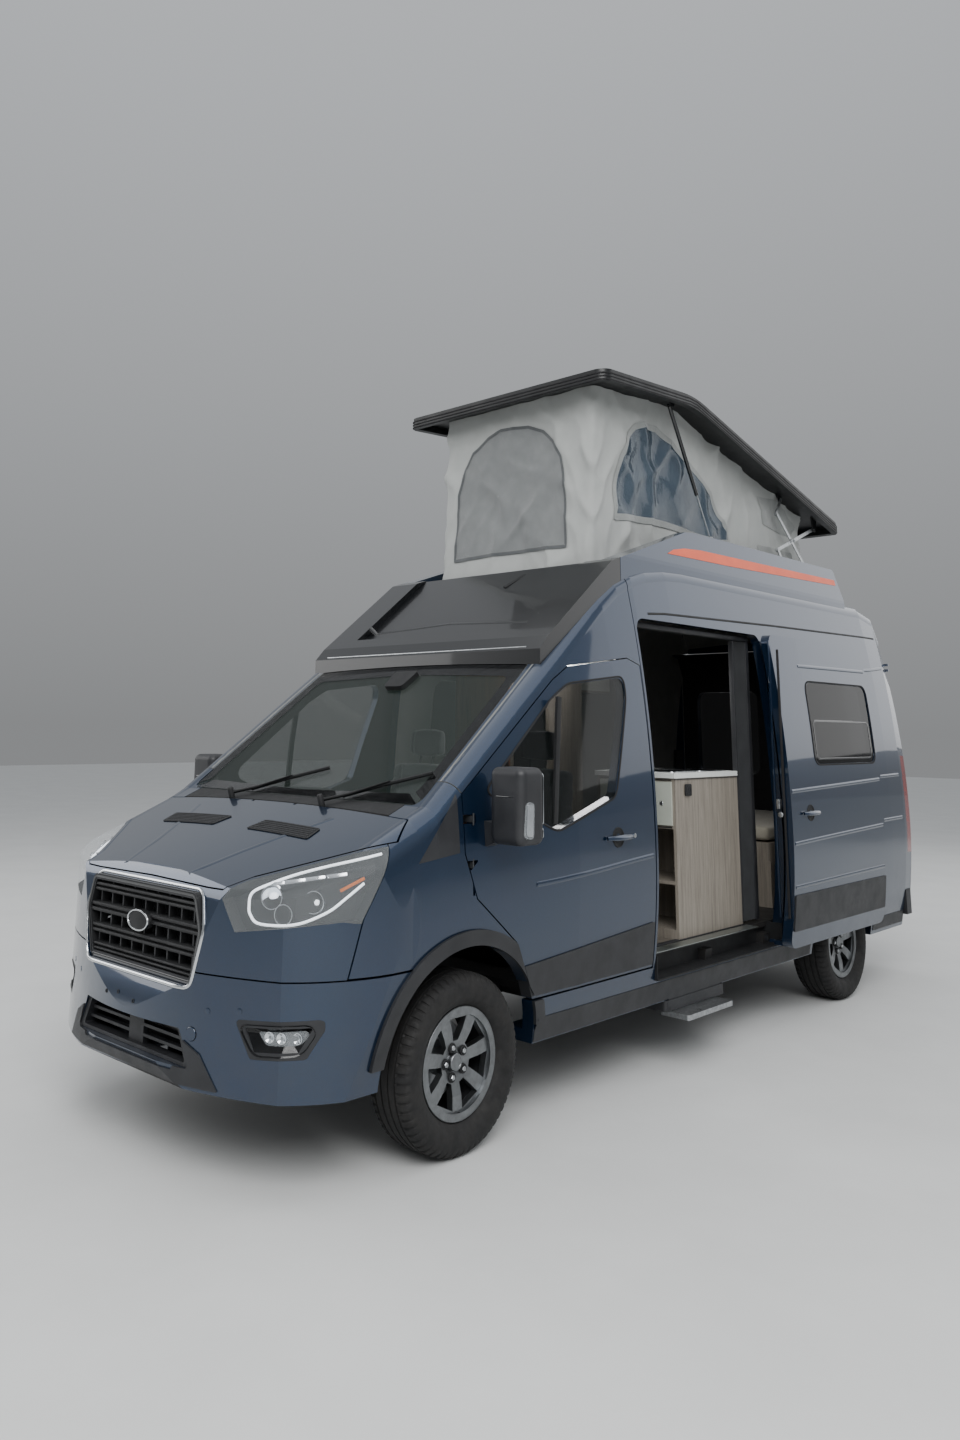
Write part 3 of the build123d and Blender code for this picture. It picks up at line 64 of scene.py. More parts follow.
# Camera, fitted to the photograph; its lengths are in pixels of the photograph, whose longer side has PHOTO
PHOTO, SENSOR = 1440, 36
FOCAL, SHIFT_X, SHIFT_Y = 1052.956, 42.736, -191.803
camera_data = bpy.data.cameras.new("camera")
camera = bpy.data.objects.new("camera", camera_data)
bpy.context.collection.objects.link(camera)
yaw, pitch, roll = (math.radians(a) for a in (44.0226, 10.7808, 0.6846))
forward = Vector((-math.sin(yaw) * math.cos(pitch), math.cos(yaw) * math.cos(pitch), math.sin(pitch)))
level = forward.cross(Vector((0, 0, 1))).normalized()
above = level.cross(forward)
right = level * math.cos(roll) + above * math.sin(roll)
upward = above * math.cos(roll) - level * math.sin(roll)
turn = Matrix((right, upward, -forward)).transposed()
camera.matrix_world = Matrix.Translation((4.14103, -3.47591 + AXLE_Y, 1.72154)) @ turn.to_4x4()
camera_data.sensor_width = SENSOR
camera_data.sensor_fit = "AUTO"
camera_data.lens = FOCAL / PHOTO * SENSOR
camera_data.shift_x = SHIFT_X / PHOTO
camera_data.shift_y = SHIFT_Y / PHOTO
camera_data.clip_end = 200
bpy.context.scene.camera = camera


# Materials
def rgb(text):
    """Linear colour from a six-digit sRGB code."""
    parts = [int(text[i:i + 2], 16) / 255 for i in (0, 2, 4)]
    return [p / 12.92 if p <= 0.04045 else ((p + 0.055) / 1.055) ** 2.4 for p in parts] + [1]


class Mat:
    """A node material with a principled shader, and shortcuts for the nodes that feed it."""

    def __init__(self, name, colour, rough=0.5, metal=0.0, **sockets):
        self.m = bpy.data.materials.new(name)
        self.m.use_nodes = True
        self.t = self.m.node_tree
        self.b = self.t.nodes["Principled BSDF"]
        self.colour = rgb(colour)
        self.b.inputs["Base Color"].default_value = self.colour
        self.b.inputs["Roughness"].default_value = rough
        self.b.inputs["Metallic"].default_value = metal
        for key, value in sockets.items():
            self.b.inputs[key.replace("_", " ")].default_value = value
        self.place = self.add("ShaderNodeTexCoord").outputs["Object"]
        self.slot = None

    def add(self, kind, inputs=None, **props):
        node = self.t.nodes.new(kind)
        for key, value in props.items():
            setattr(node, key, value)
        for key, value in (inputs or {}).items():
            if hasattr(value, "is_output"):
                self.t.links.new(value, node.inputs[key])
            else:
                node.inputs[key].default_value = value
        return node

    def link(self, output, socket):
        self.t.links.new(output, self.b.inputs[socket] if isinstance(socket, str) else socket)

    def maths(self, op, a, b=0.0, clamp=False):
        return self.add("ShaderNodeMath", {0: a, 1: b}, operation=op, use_clamp=clamp).outputs[0]

    def scaled(self, x, y, z):
        return self.add("ShaderNodeMapping", {"Vector": self.place, "Scale": (x, y, z)}).outputs[0]

    def noise(self, scale, detail=4.0, rough=0.6, vector=None):
        inputs = {"Vector": vector or self.place, "Scale": scale, "Detail": detail, "Roughness": rough}
        return self.add("ShaderNodeTexNoise", inputs).outputs[0]

    def remap(self, value, low, high, to_low=0.0, to_high=1.0):
        inputs = {"Value": value, "From Min": low, "From Max": high, "To Min": to_low, "To Max": to_high}
        return self.add("ShaderNodeMapRange", inputs).outputs[0]

    def mix(self, factor, a, b):
        node = self.add("ShaderNodeMix", data_type="RGBA")
        for index, value in ((0, factor), (6, a), (7, b)):
            if hasattr(value, "is_output"):
                self.t.links.new(value, node.inputs[index])
            else:
                node.inputs[index].default_value = value
        return node.outputs[2]

    def bump(self, height, strength=0.2, distance=0.001, under=None):
        inputs = {"Height": height, "Strength": strength, "Distance": distance}
        if under is not None:
            inputs["Normal"] = under
        out = self.add("ShaderNodeBump", inputs).outputs[0]
        self.link(out, "Normal")
        return out

    def axis(self, index):
        return self.add("ShaderNodeSeparateXYZ", {0: self.place}).outputs[index]

    def vary(self, scale, other, low=0.35, high=0.65, base=None):
        """Colour wandering between the base colour and another."""
        factor = self.remap(self.noise(scale), low, high)
        out = self.mix(factor, base or self.colour, rgb(other) if isinstance(other, str) else other)
        self.link(out, "Base Color")
        return out

    def rough_vary(self, scale, low, high):
        self.link(self.remap(self.noise(scale), 0.3, 0.7, low, high), "Roughness")


def plain(name, colour, rough, vary, bump=None, **sockets):
    """Even material; vary is (scale, other colour), and bump is (scale, strength, distance)."""
    m = Mat(name, colour, rough, **sockets)
    m.vary(*vary)
    if bump:
        m.bump(m.noise(bump[0]), *bump[1:])
    return m


def paint(name, colour, deep, metal=0.72, rough=0.3):
    """Metallic paint under a clear coat, with flakes and a little road dust low down."""
    m = Mat(name, colour, rough, metal, Coat_Weight=1.0, Coat_Roughness=0.04, Coat_IOR=1.55)
    flakes = m.add("ShaderNodeTexVoronoi", {"Vector": m.place, "Scale": 900.0}).outputs["Color"]
    grey = m.add("ShaderNodeSeparateColor", {0: flakes}).outputs[0]
    tone = m.mix(m.remap(grey, 0, 1, 0, 0.45), m.colour, rgb(deep))
    dust = m.maths("MULTIPLY", m.remap(m.axis(2), 0.95, 0.35, 0, 1), m.remap(m.noise(6.0), 0.35, 0.8))
    m.link(m.mix(m.maths("MULTIPLY", dust, 0.18), tone, rgb("4a463f")), "Base Color")
    m.link(m.remap(dust, 0, 1, rough, rough + 0.2), "Roughness")
    m.bump(m.noise(2.2, 2.0), 0.05, 0.004)
    return m


def plastic(name, colour, rough=0.55, grain=1400.0, strength=0.25, other=None):
    """Grained moulded plastic."""
    m = Mat(name, colour, rough)
    m.vary(7.0, other or colour)
    m.rough_vary(11.0, rough - 0.06, rough + 0.08)
    m.bump(m.add("ShaderNodeTexVoronoi", {"Vector": m.place, "Scale": grain}).outputs[0], strength, 0.0004)
    return m


def metal(name, colour, rough=0.3, streak=(60, 60, 60)):
    m = Mat(name, colour, rough, 1.0)
    m.rough_vary(40.0, rough - 0.08, rough + 0.12)
    m.bump(m.noise(30.0, 6.0, 0.7, m.scaled(*streak)), 0.06, 0.0004)
    return m


body_paint = paint("body_paint", "17304c", "0a1726")
roof_paint = paint("roof_paint", "0d0f12", "060708", 0.0, 0.3)
roof_paint.b.inputs["Coat Weight"].default_value = 0.4
stripe_paint = plain("stripe_orange", "e8551f", 0.42, (5.0, "dc4c1a"), (900.0, 0.04, 0.0002), Coat_Weight=0.1)
black_plastic = plastic("black_plastic", "26272a", 0.5, other="1c1d20")
dark_plastic = plastic("dark_plastic", "141517", 0.62, other="0d0e10")
gloss_black = plain("gloss_black", "0b0c0e", 0.12, (4.0, "101215"), (3.0, 0.02, 0.002), Coat_Weight=0.6)
lid_shell = plastic("lid_shell", "101214", 0.42, 700.0, 0.12, "0b0c0e")
rubber = plastic("rubber", "0d0d0e", 0.8, 500.0, 0.3, "16161a")
chrome = metal("chrome", "d5d8da", 0.12)
zinc = metal("zinc", "b9bcbe", 0.34)
zinc.vary(60.0, "9a9d9f")
alloy = metal("alloy", "85888a", 0.36)
alloy.vary(20.0, "77797b")
steel_black = plastic("steel_black", "17181a", 0.55, 260.0, 0.5, "211f1e")
primer = plastic("primer", "1d1f22", 0.6, 300.0, 0.15, "26282b")
sill_metal = metal("sill_metal", "9fa5a2", 0.35, (2, 90, 90))


def wood(name, light, dark, along, rough=0.45):
    """Printed wood decor with the grain along one axis."""
    m = Mat(name, light, rough)
    scale = [26.0, 26.0, 26.0]
    scale[along] = 1.3
    grain = m.noise(2.2, 9.0, 0.72, m.scaled(*scale))
    scale[along] = 5.0
    pores = m.noise(9.0, 3.0, 0.6, m.scaled(*scale))
    tone = m.maths("ADD", m.remap(grain, 0.3, 0.7), m.remap(pores, 0.58, 0.75, 0, 0.3), True)
    m.link(m.mix(tone, m.colour, rgb(dark)), "Base Color")
    m.link(m.remap(grain, 0.3, 0.7, rough - 0.05, rough + 0.15), "Roughness")
    m.bump(grain, 0.12, 0.0006)
    return m


grey_wood = wood("grey_wood", "938c81", "6a635a", 2)
warm_wood = wood("warm_wood", "8a5a34", "5f3a1e", 2)
worktop_white = plain("worktop_white", "d9dcd8", 0.3, (260.0, "c6cac7", 0.5, 0.6), (500.0, 0.03, 0.0002))
locker_white = plain("locker_white", "b9bdb2", 0.3, (3.0, "aeb3a8"), (2.0, 0.02, 0.002), Coat_Weight=0.4)


def cloth(name, colour, other, weave=900.0, strength=0.5, rough=0.9, sheen=0.3):
    """Woven fabric: crossed threads with soft tone changes."""
    m = Mat(name, colour, rough, Sheen_Weight=sheen, Sheen_Roughness=0.5)
    base = m.remap(m.noise(9.0, 5.0), 0.3, 0.7)
    waves = []
    for axes in ((1, 0, 0.35), (0, 1, 0.35), (0.2, 0.2, 1)):
        vector = m.scaled(*(weave * a for a in axes))
        total = m.add("ShaderNodeSeparateXYZ", {0: vector})
        run = m.maths("ADD", m.maths("ADD", total.outputs[0], total.outputs[1]), total.outputs[2])
        waves.append(m.maths("SINE", run))
    threads = m.maths("ADD", m.maths("MULTIPLY", waves[0], waves[1]), m.maths("MULTIPLY", waves[2], 0.6))
    tone = m.maths("ADD", m.maths("MULTIPLY", base, 0.7), m.remap(threads, -1, 1, 0, 0.3))
    m.link(m.mix(tone, m.colour, rgb(other)), "Base Color")
    under = m.bump(m.noise(14.0, 3.0), 0.1, 0.01)
    m.bump(threads, strength, 0.0005, under)
    return m


canvas = cloth("canvas", "a6a8a6", "9c9f9d", 1500.0, 0.35, 0.85, 0.15)
canvas_tape = cloth("canvas_tape", "8e918f", "7c7f7e", 2200.0, 0.4)
mesh_cloth = cloth("mesh_cloth", "7d8080", "6a6d6e", 2600.0, 0.8, 0.8)
zip_tape = cloth("zip_tape", "55585a", "45484a", 2600.0, 0.6)
seat_cloth = cloth("seat_cloth", "4c4f51", "36383a", 1300.0, 0.5)
mattress_cloth = cloth("mattress_cloth", "a7a294", "938e80", 1000.0, 0.5)
pleat_cloth = cloth("pleat_cloth", "2b2d30", "1c1e20", 2400.0, 0.3, 0.8)
lining = cloth("lining", "6c6d6b", "5d5e5c", 900.0, 0.3)
carpet = plastic("vinyl_floor", "6e675d", 0.55, 90.0, 0.2, "544e46")


def glassy(name, colour, alpha, rough=0.03, ior=1.45):
    """Tinted pane that lets part of the view through."""
    m = Mat(name, colour, rough, 0.0, Alpha=alpha, IOR=ior)
    m.link(m.remap(m.noise(4.0), 0.3, 0.7, rough, rough + 0.03), "Roughness")
    m.m.surface_render_method = "BLENDED"
    return m


screen_glass = glassy("screen_glass", "39443f", 0.20, 0.03, 1.8)
door_glass = glassy("door_glass", "0a0f0e", 0.46, 0.03, 1.5)
dark_glass = glassy("dark_glass", "040506", 0.86, 0.03, 1.36)
# The clear film's blue-grey colour and low see-through are painted reflection of the sky on it.
film = glassy("clear_film", "46535f", 0.72, 0.1)
film.bump(film.noise(9.0, 3.0), 0.4, 0.012)
lens_glass = glassy("lens_glass", "dfe6ea", 0.12)
lens_amber = glassy("lens_amber", "d06a10", 0.75)
lens_red = plain("lens_red", "8a0c0c", 0.12, (60.0, "6a0606"), Coat_Weight=1.0)
mirror_face = Mat("mirror_face", "c9cdd0", 0.04, 1.0)
mirror_face.rough_vary(8.0, 0.02, 0.06)
lamp_white = plain("lamp_white", "f4f8ff", 0.2, (80.0, "dfe8f2"), Emission_Color=(0.9, 0.95, 1.0, 1),
    Emission_Strength=1.2)
reflector = metal("reflector", "e2e6ea", 0.14)
tread_rubber = plain("tread_rubber", "111112", 0.82, (14.0, "1d1c1b"))
tread_rubber.rough_vary(30.0, 0.72, 0.92)
tread_rubber.bump(tread_rubber.noise(260.0, 5.0), 0.35, 0.0007)
plate_white = plain("plate_blank", "c9cac6", 0.4, (5.0, "bfc0bc"), (300.0, 0.03, 0.0002))

# The slot name recorded on each material
for slot, materials in {
        "black_trim": (black_plastic, dark_plastic, gloss_black, rubber), "galvanised": (zinc, sill_metal),
        "grille_trim": (chrome,), "wheel_alloy": (alloy,), "body_paint": (body_paint, stripe_paint, plate_white),
        "roof_paint": (roof_paint,), "lid_shell": (lid_shell,), "inner_metal": (primer, carpet),
        "cabinet_wood": (grey_wood, warm_wood, locker_white), "tyre_rubber": (tread_rubber,),
        "canvas": (canvas, canvas_tape, mesh_cloth, zip_tape, film), "seat_cloth": (seat_cloth, mattress_cloth),
        "screen_cloth": (pleat_cloth,), "lamp_red": (lens_red,),
        "lamp_clear": (reflector, lamp_white, lens_amber, lens_glass, mirror_face)}.items():
    for material in materials:
        material.slot = slot

ROOT = ("body", "body")
FRONT_DOORS = ("door_front_left", "door_front_right")
REAR_DOORS = ("door_rear_left", "door_rear_right")
# Each wheel's axle, side, sign of x, middle in x and distance behind the front axle; all hubs are HUB_UP high
WHEELS = [("front", "left", 1, 866, 0), ("front", "right", -1, 866, 0),
          ("rear", "left", 1, 871.5, 3750), ("rear", "right", -1, 871.5, 3750)]
HUB_UP = 356


def assign(names, material):
    """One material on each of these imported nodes."""
    for name in names.split():
        mesh = NODES[name].data
        mesh.materials.clear()
        mesh.materials.append(material.m)


def masked(name, base, layers):
    """Base material name with other materials where a layer's test holds, chosen face by face."""
    mesh = NODES[name].data
    mesh.materials.clear()
    mesh.materials.append(base.m)
    for material, _ in layers:
        mesh.materials.append(material.m)
    for face in mesh.polygons:
        c = face.center
        spot = (c.x * 1000, (c.y - AXLE_Y) * 1000, c.z * 1000)
        for index, (_, test) in enumerate(layers):
            if test(*spot, face.normal):
                face.material_index = index + 1
                break


# Mesh helpers: each b_ function makes a bmesh, and merged() or both() makes pieces of several
def placed(name, mesh):
    """The mesh as an object of the scene."""
    piece = bpy.data.objects.new(name, mesh)
    bpy.context.collection.objects.link(piece)
    return piece


def dress(piece, material, body, sharp=40):
    """Material, shading and body of a piece; sharp is the crease angle, and 0 leaves it flat."""
    piece.data.materials.append(material.m)
    if sharp:
        piece.data.shade_smooth()
        piece.data.set_sharp_from_angle(angle=math.radians(sharp))
    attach(piece, body)
    return piece


def obj(name, verts, faces, material, body="body", sharp=40):
    """A mesh piece from its vertices and faces."""
    mesh = bpy.data.meshes.new(name)
    mesh.from_pydata([tuple(v) for v in verts], [], faces)
    mesh.update()
    return dress(placed(name, mesh), material, body, sharp)


def merged(name, solids, material, body="body", sharp=40):
    """Several bmesh solids as one piece."""
    total = bmesh.new()
    for part in solids:
        part.normal_update()
        mesh = bpy.data.meshes.new("join")
        part.to_mesh(mesh)
        part.free()
        total.from_mesh(mesh)
        bpy.data.meshes.remove(mesh)
    mesh = bpy.data.meshes.new(name)
    outwards(total).to_mesh(mesh)
    total.free()
    return dress(placed(name, mesh), material, body, sharp)


def flip(bm):
    """The mirror image of a solid on the van's other side."""
    twin = bm.copy()
    for vert in twin.verts:
        vert.co.x = -vert.co.x
    bmesh.ops.reverse_faces(twin, faces=twin.faces)
    return twin


def both(name, solids, material, bodies=ROOT, sharp=40):
    """Solids on the left body and their mirror images on the right one."""
    rights = [flip(bm) for bm in solids]
    if bodies[0] == bodies[1]:
        merged(name, solids + rights, material, bodies[0], sharp)
    else:
        merged(name + "_left", solids, material, bodies[0], sharp)
        merged(name + "_right", rights, material, bodies[1], sharp)


def outwards(bm):
    bmesh.ops.recalc_face_normals(bm, faces=bm.faces)
    return bm


def skin(bm, rings, closed, loop=True):
    """Quads between rings of vertices; closed joins the last ring to the first, loop each ring's two ends."""
    size = len(rings[0])
    for i in range(len(rings) if closed else len(rings) - 1):
        a, b = rings[i], rings[(i + 1) % len(rings)]
        for k in range(size if loop else size - 1):
            j = (k + 1) % size
            bm.faces.new((a[k], a[j], b[j], b[k]))


def b_bar_of(bm, rings, closed):
    """Skin over rings along a run, its ends capped where it is open."""
    skin(bm, rings, closed)
    if not closed:
        bm.faces.new(rings[0][::-1])
        bm.faces.new(rings[-1])
    return outwards(bm)


def b_block(rings, bevel=0.0, steps=2):
    """Solid between two rings of points, its sharp edges bevelled."""
    bm = bmesh.new()
    low, high = ([bm.verts.new(p) for p in ring] for ring in rings)
    bm.faces.new(low)
    bm.faces.new(high[::-1])
    for i in range(len(low)):
        j = (i + 1) % len(low)
        bm.faces.new((low[j], low[i], high[i], high[j]))
    outwards(bm)
    if bevel:
        edges = [e for e in bm.edges if len(e.link_faces) == 2 and e.calc_face_angle(0) > 0.5]
        bmesh.ops.bevel(bm, geom=edges, offset=bevel / 1000, segments=steps, profile=0.5, affect="EDGES")
    return bm


def b_prism(outline, place, low, high, bevel=0.0, steps=2):
    """Prism over a 2-D outline; place(u, v, w) gives the point in the frame."""
    return b_block([[place(u, v, w) for u, v in outline] for w in (low, high)], bevel, steps)


def side(u, v, w):
    """Outline in (behind, up), depth along x."""
    return P(w, u, v)


def front(u, v, w):
    """Outline in (x, up), depth along the van."""
    return P(u, w, v)


def plan(u, v, w):
    """Outline in (x, behind), depth upwards."""
    return P(u, v, w)


def b_box(x0, x1, d0, d1, z0, z1, bevel=0.0, steps=2):
    return b_prism([(x0, d0), (x1, d0), (x1, d1), (x0, d1)], plan, z0, z1, bevel, steps)


def b_bar(a, b, wide, deep, outward, bevel=0.0):
    """Straight bar from a to b, wide across and deep along outward."""
    a, b = Vector(a), Vector(b)
    run = (b - a).normalized()
    out = Vector(outward)
    out = (out - run * out.dot(run)).normalized()
    across = run.cross(out)
    corners = ((-1, -1), (1, -1), (1, 1), (-1, 1))
    return b_block([[p + across * (u * wide / 2000) + out * (v * deep / 2000) for u, v in corners] for p in (a, b)],
        bevel)


def b_lathe(profile, centre, axis, segments=48, start=0.0, closed=False):
    """Profile of (along, radius) turned round an axis through centre."""
    axis = Vector(axis).normalized()
    u = axis.orthogonal().normalized()
    v = axis.cross(u)
    bm = bmesh.new()
    rings = []
    for k in range(segments):
        a = start + 2 * math.pi * k / segments
        out = u * math.cos(a) + v * math.sin(a)
        rings.append([bm.verts.new(Vector(centre) + axis * (s / 1000) + out * (r / 1000)) for s, r in profile])
    skin(bm, rings, True, closed)
    if not closed:
        for end in (0, len(profile) - 1):
            if profile[end][1] > 0.01:
                cap = [r[end] for r in rings]
                bm.faces.new(cap if end else cap[::-1])
    bmesh.ops.remove_doubles(bm, verts=bm.verts, dist=1e-6)
    return outwards(bm)


def ways(points, closed):
    """Direction of a run at each of its points."""
    out = []
    for i, p in enumerate(points):
        before = points[i - 1] if (i or closed) else p
        after = points[(i + 1) % len(points)] if (i < len(points) - 1 or closed) else p
        out.append((after - before).normalized())
    return out


def b_tube(points, radius, sides=8, closed=False, flat=1.0):
    """Round bar along points, its ends capped; flat squashes it towards the run's normal."""
    pts = [Vector(p) for p in points]
    bm = bmesh.new()
    rings = []
    normal = None
    for i, (p, run) in enumerate(zip(pts, ways(pts, closed))):
        if normal is None:
            normal = run.orthogonal().normalized()
        normal = (normal - run * normal.dot(run)).normalized()
        other = run.cross(normal)
        r = (radius(i / max(1, len(pts) - 1)) if callable(radius) else radius) / 1000
        rings.append([bm.verts.new(p + normal * (r * math.cos(t)) + other * (r * flat * math.sin(t)))
            for t in (2 * math.pi * k / sides for k in range(sides))])
    return b_bar_of(bm, rings, closed)


def sweep(spots, profile, closed=False):
    """Profile of (out, across) swept along (point, outward) pairs."""
    bm = bmesh.new()
    rings = []
    for (spot, normal), run in zip(spots, ways([spot for spot, _ in spots], closed)):
        across = run.cross(normal).normalized()
        out = across.cross(run).normalized()
        if out.dot(normal) < 0:
            out = -out
        rings.append([bm.verts.new(spot + out * (o / 1000) + across * (a / 1000)) for o, a in profile])
    return b_bar_of(bm, rings, closed)


def rounded(corners, radius, steps=5):
    """Closed outline with each corner rounded."""
    out = []
    for i in range(len(corners)):
        p = Vector(corners[i])
        a = Vector(corners[i - 1]) - p
        b = Vector(corners[(i + 1) % len(corners)]) - p
        reach = min(radius, a.length * 0.48, b.length * 0.48)
        start, end = p + a.normalized() * reach, p + b.normalized() * reach
        for k in range(steps + 1):
            t = k / steps
            out.append(tuple(start * (1 - t) ** 2 + p * 2 * t * (1 - t) + end * t ** 2))
    return out


def rect(u0, v0, u1, v1, radius, steps=5):
    """Rounded outline of a rectangle between two corners."""
    return rounded([(u0, v0), (u1, v0), (u1, v1), (u0, v1)], radius, steps)


def densify(points, cell, closed=True):
    """Outline with no run longer than cell."""
    out = []
    count = len(points)
    for i in range(count if closed else count - 1):
        a, b = Vector(points[i]), Vector(points[(i + 1) % count])
        steps = max(1, math.ceil((b - a).length / cell))
        out += [tuple(a.lerp(b, k / steps)) for k in range(steps)]
    return out if closed else out + [tuple(points[-1])]


def winding(outline):
    """1 for an outline that runs anticlockwise, and -1 for the other way."""
    area = sum(outline[i - 1][0] * outline[i][1] - outline[i][0] * outline[i - 1][1] for i in range(len(outline)))
    return 1 if area > 0 else -1


def grown(outline, amount):
    """Convex outline moved outwards by an amount, or inwards where it is negative."""
    sign = winding(outline)
    out = []
    for i in range(len(outline)):
        p = Vector(outline[i])
        a = p - Vector(outline[i - 1])
        b = Vector(outline[(i + 1) % len(outline)]) - p
        if a.length < 1e-6 or b.length < 1e-6:
            continue
        a.normalize()
        b.normalize()
        na, nb = Vector((a.y, -a.x)) * sign, Vector((b.y, -b.x)) * sign
        way = na + nb
        if way.length < 1e-6:
            continue
        way.normalize()
        out.append(tuple(p + way * (amount / max(0.35, way.dot(na)))))
    return out


def b_rim(outline, place, way, section, cell=40):
    """Section swept round an outline of (u, v), which place(u, v) puts in space facing one way."""
    way = Vector(way)
    return sweep([(place(u, v), way) for u, v in densify(outline, cell)], section, True)


def tree_of(names):
    """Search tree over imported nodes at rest."""
    verts, faces = [], []
    for name in names.split():
        mesh = NODES[name].data
        base = len(verts)
        verts += [v.co.copy() for v in mesh.vertices]
        faces += [[base + i for i in f.vertices] for f in mesh.polygons]
    return BVHTree.FromPolygons(verts, faces)


# Straight looks at the van from the left, right, front, back and top
RAYS = {
    "L": (lambda u, v: P(1700, u, v), Vector((-1, 0, 0))),
    "R": (lambda u, v: P(-1700, u, v), Vector((1, 0, 0))),
    "F": (lambda u, v: P(u, -1800, v), Vector((0, 1, 0))),
    "B": (lambda u, v: P(u, 6200, v), Vector((0, -1, 0))),
    "T": (lambda u, v: P(u, v, 4500), Vector((0, 0, -1))),
}


def hit(tree, view, u, v, lift=0.0):
    """Point and outward way where a look at (u, v) meets the tree, lifted off the skin."""
    start, way = RAYS[view]
    spot, normal, _, _ = tree.ray_cast(start(u, v), way)
    if spot is None:
        return None, None
    if normal.dot(way) > 0:
        normal = -normal
    return spot + normal * (lift / 1000), normal


def laid(tree, view, points, lift=0.0, cell=40.0, closed=False):
    """(point, outward) pairs of a run laid on the skin."""
    pairs = [hit(tree, view, u, v, lift) for u, v in densify(points, cell, closed)]
    return [pair for pair in pairs if pair[0] is not None]


def b_run(tree, view, points, profile, closed=False, cell=30.0):
    """Profile of (out, across) swept along a run on the skin."""
    return sweep(laid(tree, view, points, 0.0, cell, closed), profile, closed)


def b_clipped(outline, cells, tiny, near):
    """Flat grid cut along a convex outline; cells(span) says how many cells a span has."""
    us, vs = [p[0] for p in outline], [p[1] for p in outline]
    u0, v0, wide, tall = min(us), min(vs), max(us) - min(us), max(vs) - min(vs)
    bm = bmesh.new()
    bmesh.ops.create_grid(bm, x_segments=cells(wide), y_segments=cells(tall), size=0.5)
    for vert in bm.verts:
        vert.co = Vector((u0 + (vert.co.x + 0.5) * wide, v0 + (vert.co.y + 0.5) * tall, 0))
    sign = winding(outline)
    for i in range(len(outline)):
        a, b = Vector((*outline[i - 1], 0)), Vector((*outline[i], 0))
        edge = b - a
        if edge.length >= tiny:
            bmesh.ops.bisect_plane(bm, geom=bm.verts[:] + bm.edges[:] + bm.faces[:], plane_co=a,
                plane_no=Vector((edge.y, -edge.x, 0)) * sign, clear_outer=True, dist=near)
    return bm


def b_patch(tree, view, outline, lift=1.0, thick=2.0, cell=40.0):
    """Convex outline laid on the skin as a thin plate."""
    bm = b_clipped(outline, lambda span: max(2, math.ceil(span / cell)), 1e-6, 1e-5)
    lost = []
    for vert in bm.verts:
        spot, _ = hit(tree, view, vert.co.x, vert.co.y, lift)
        if spot is None:
            lost.append(vert)
        else:
            vert.co = spot
    bmesh.ops.delete(bm, geom=lost, context="VERTS")
    bmesh.ops.solidify(bm, geom=bm.faces[:], thickness=-thick / 1000)
    return outwards(bm)


def b_ring(tree, view, outer, inner, lift=1.0, thick=2.0, count=160):
    """Frame-shaped plate between two outlines, laid on the skin."""
    middle = Vector((sum(p[0] for p in inner) / len(inner), sum(p[1] for p in inner) / len(inner)))

    def reach(outline, angle):
        way = Vector((math.cos(angle), math.sin(angle)))
        best = 0.0
        for i in range(len(outline)):
            a, b = Vector(outline[i - 1]) - middle, Vector(outline[i]) - middle
            edge = b - a
            cross = way.x * edge.y - way.y * edge.x
            if abs(cross) < 1e-9:
                continue
            t = (a.x * edge.y - a.y * edge.x) / cross
            s = (a.x * way.y - a.y * way.x) / cross
            if t > 0 and -1e-6 <= s <= 1 + 1e-6:
                best = max(best, t)
        return middle + way * best

    angles = [2 * math.pi * k / count for k in range(count)]
    for outline in (outer, inner):
        angles += [math.atan2(p[1] - middle.y, p[0] - middle.x) % (2 * math.pi) for p in outline]
    bm = bmesh.new()
    rows = []
    for angle in sorted(set(round(a, 5) for a in angles)):
        spots = [hit(tree, view, *reach(outline, angle), lift)[0] for outline in (outer, inner)]
        rows.append([None if spot is None else bm.verts.new(spot) for spot in spots])
    for i in range(len(rows)):
        a, b = rows[i - 1], rows[i]
        if None not in a and None not in b:
            bm.faces.new((a[0], b[0], b[1], a[1]))
    bmesh.ops.solidify(bm, geom=bm.faces[:], thickness=-thick / 1000)
    return outwards(bm)


def wave(a, b, seed=0.0):
    """Smooth repeatable wander between -1 and 1."""
    return (math.sin(a * 1.7 + seed * 3.1 + math.sin(b * 1.3 + seed)) + math.sin(b * 2.3 - a * 0.9 + seed * 1.7)) / 2


def smooth_path(points, steps):
    """Points along a smooth curve through the given ones."""
    out = []
    count = len(points)
    for i in range(count - 1):
        p = [points[max(0, i - 1)], points[i], points[i + 1], points[min(count - 1, i + 2)]]
        for k in range(steps):
            t = k / steps
            out.append(0.5 * ((2 * p[1]) + (p[2] - p[0]) * t + (2 * p[0] - 5 * p[1] + 4 * p[2] - p[3]) * t ** 2 + (
                3 * p[1] - p[0] - 3 * p[2] + p[3]) * t ** 3))
    return out + [points[-1]]


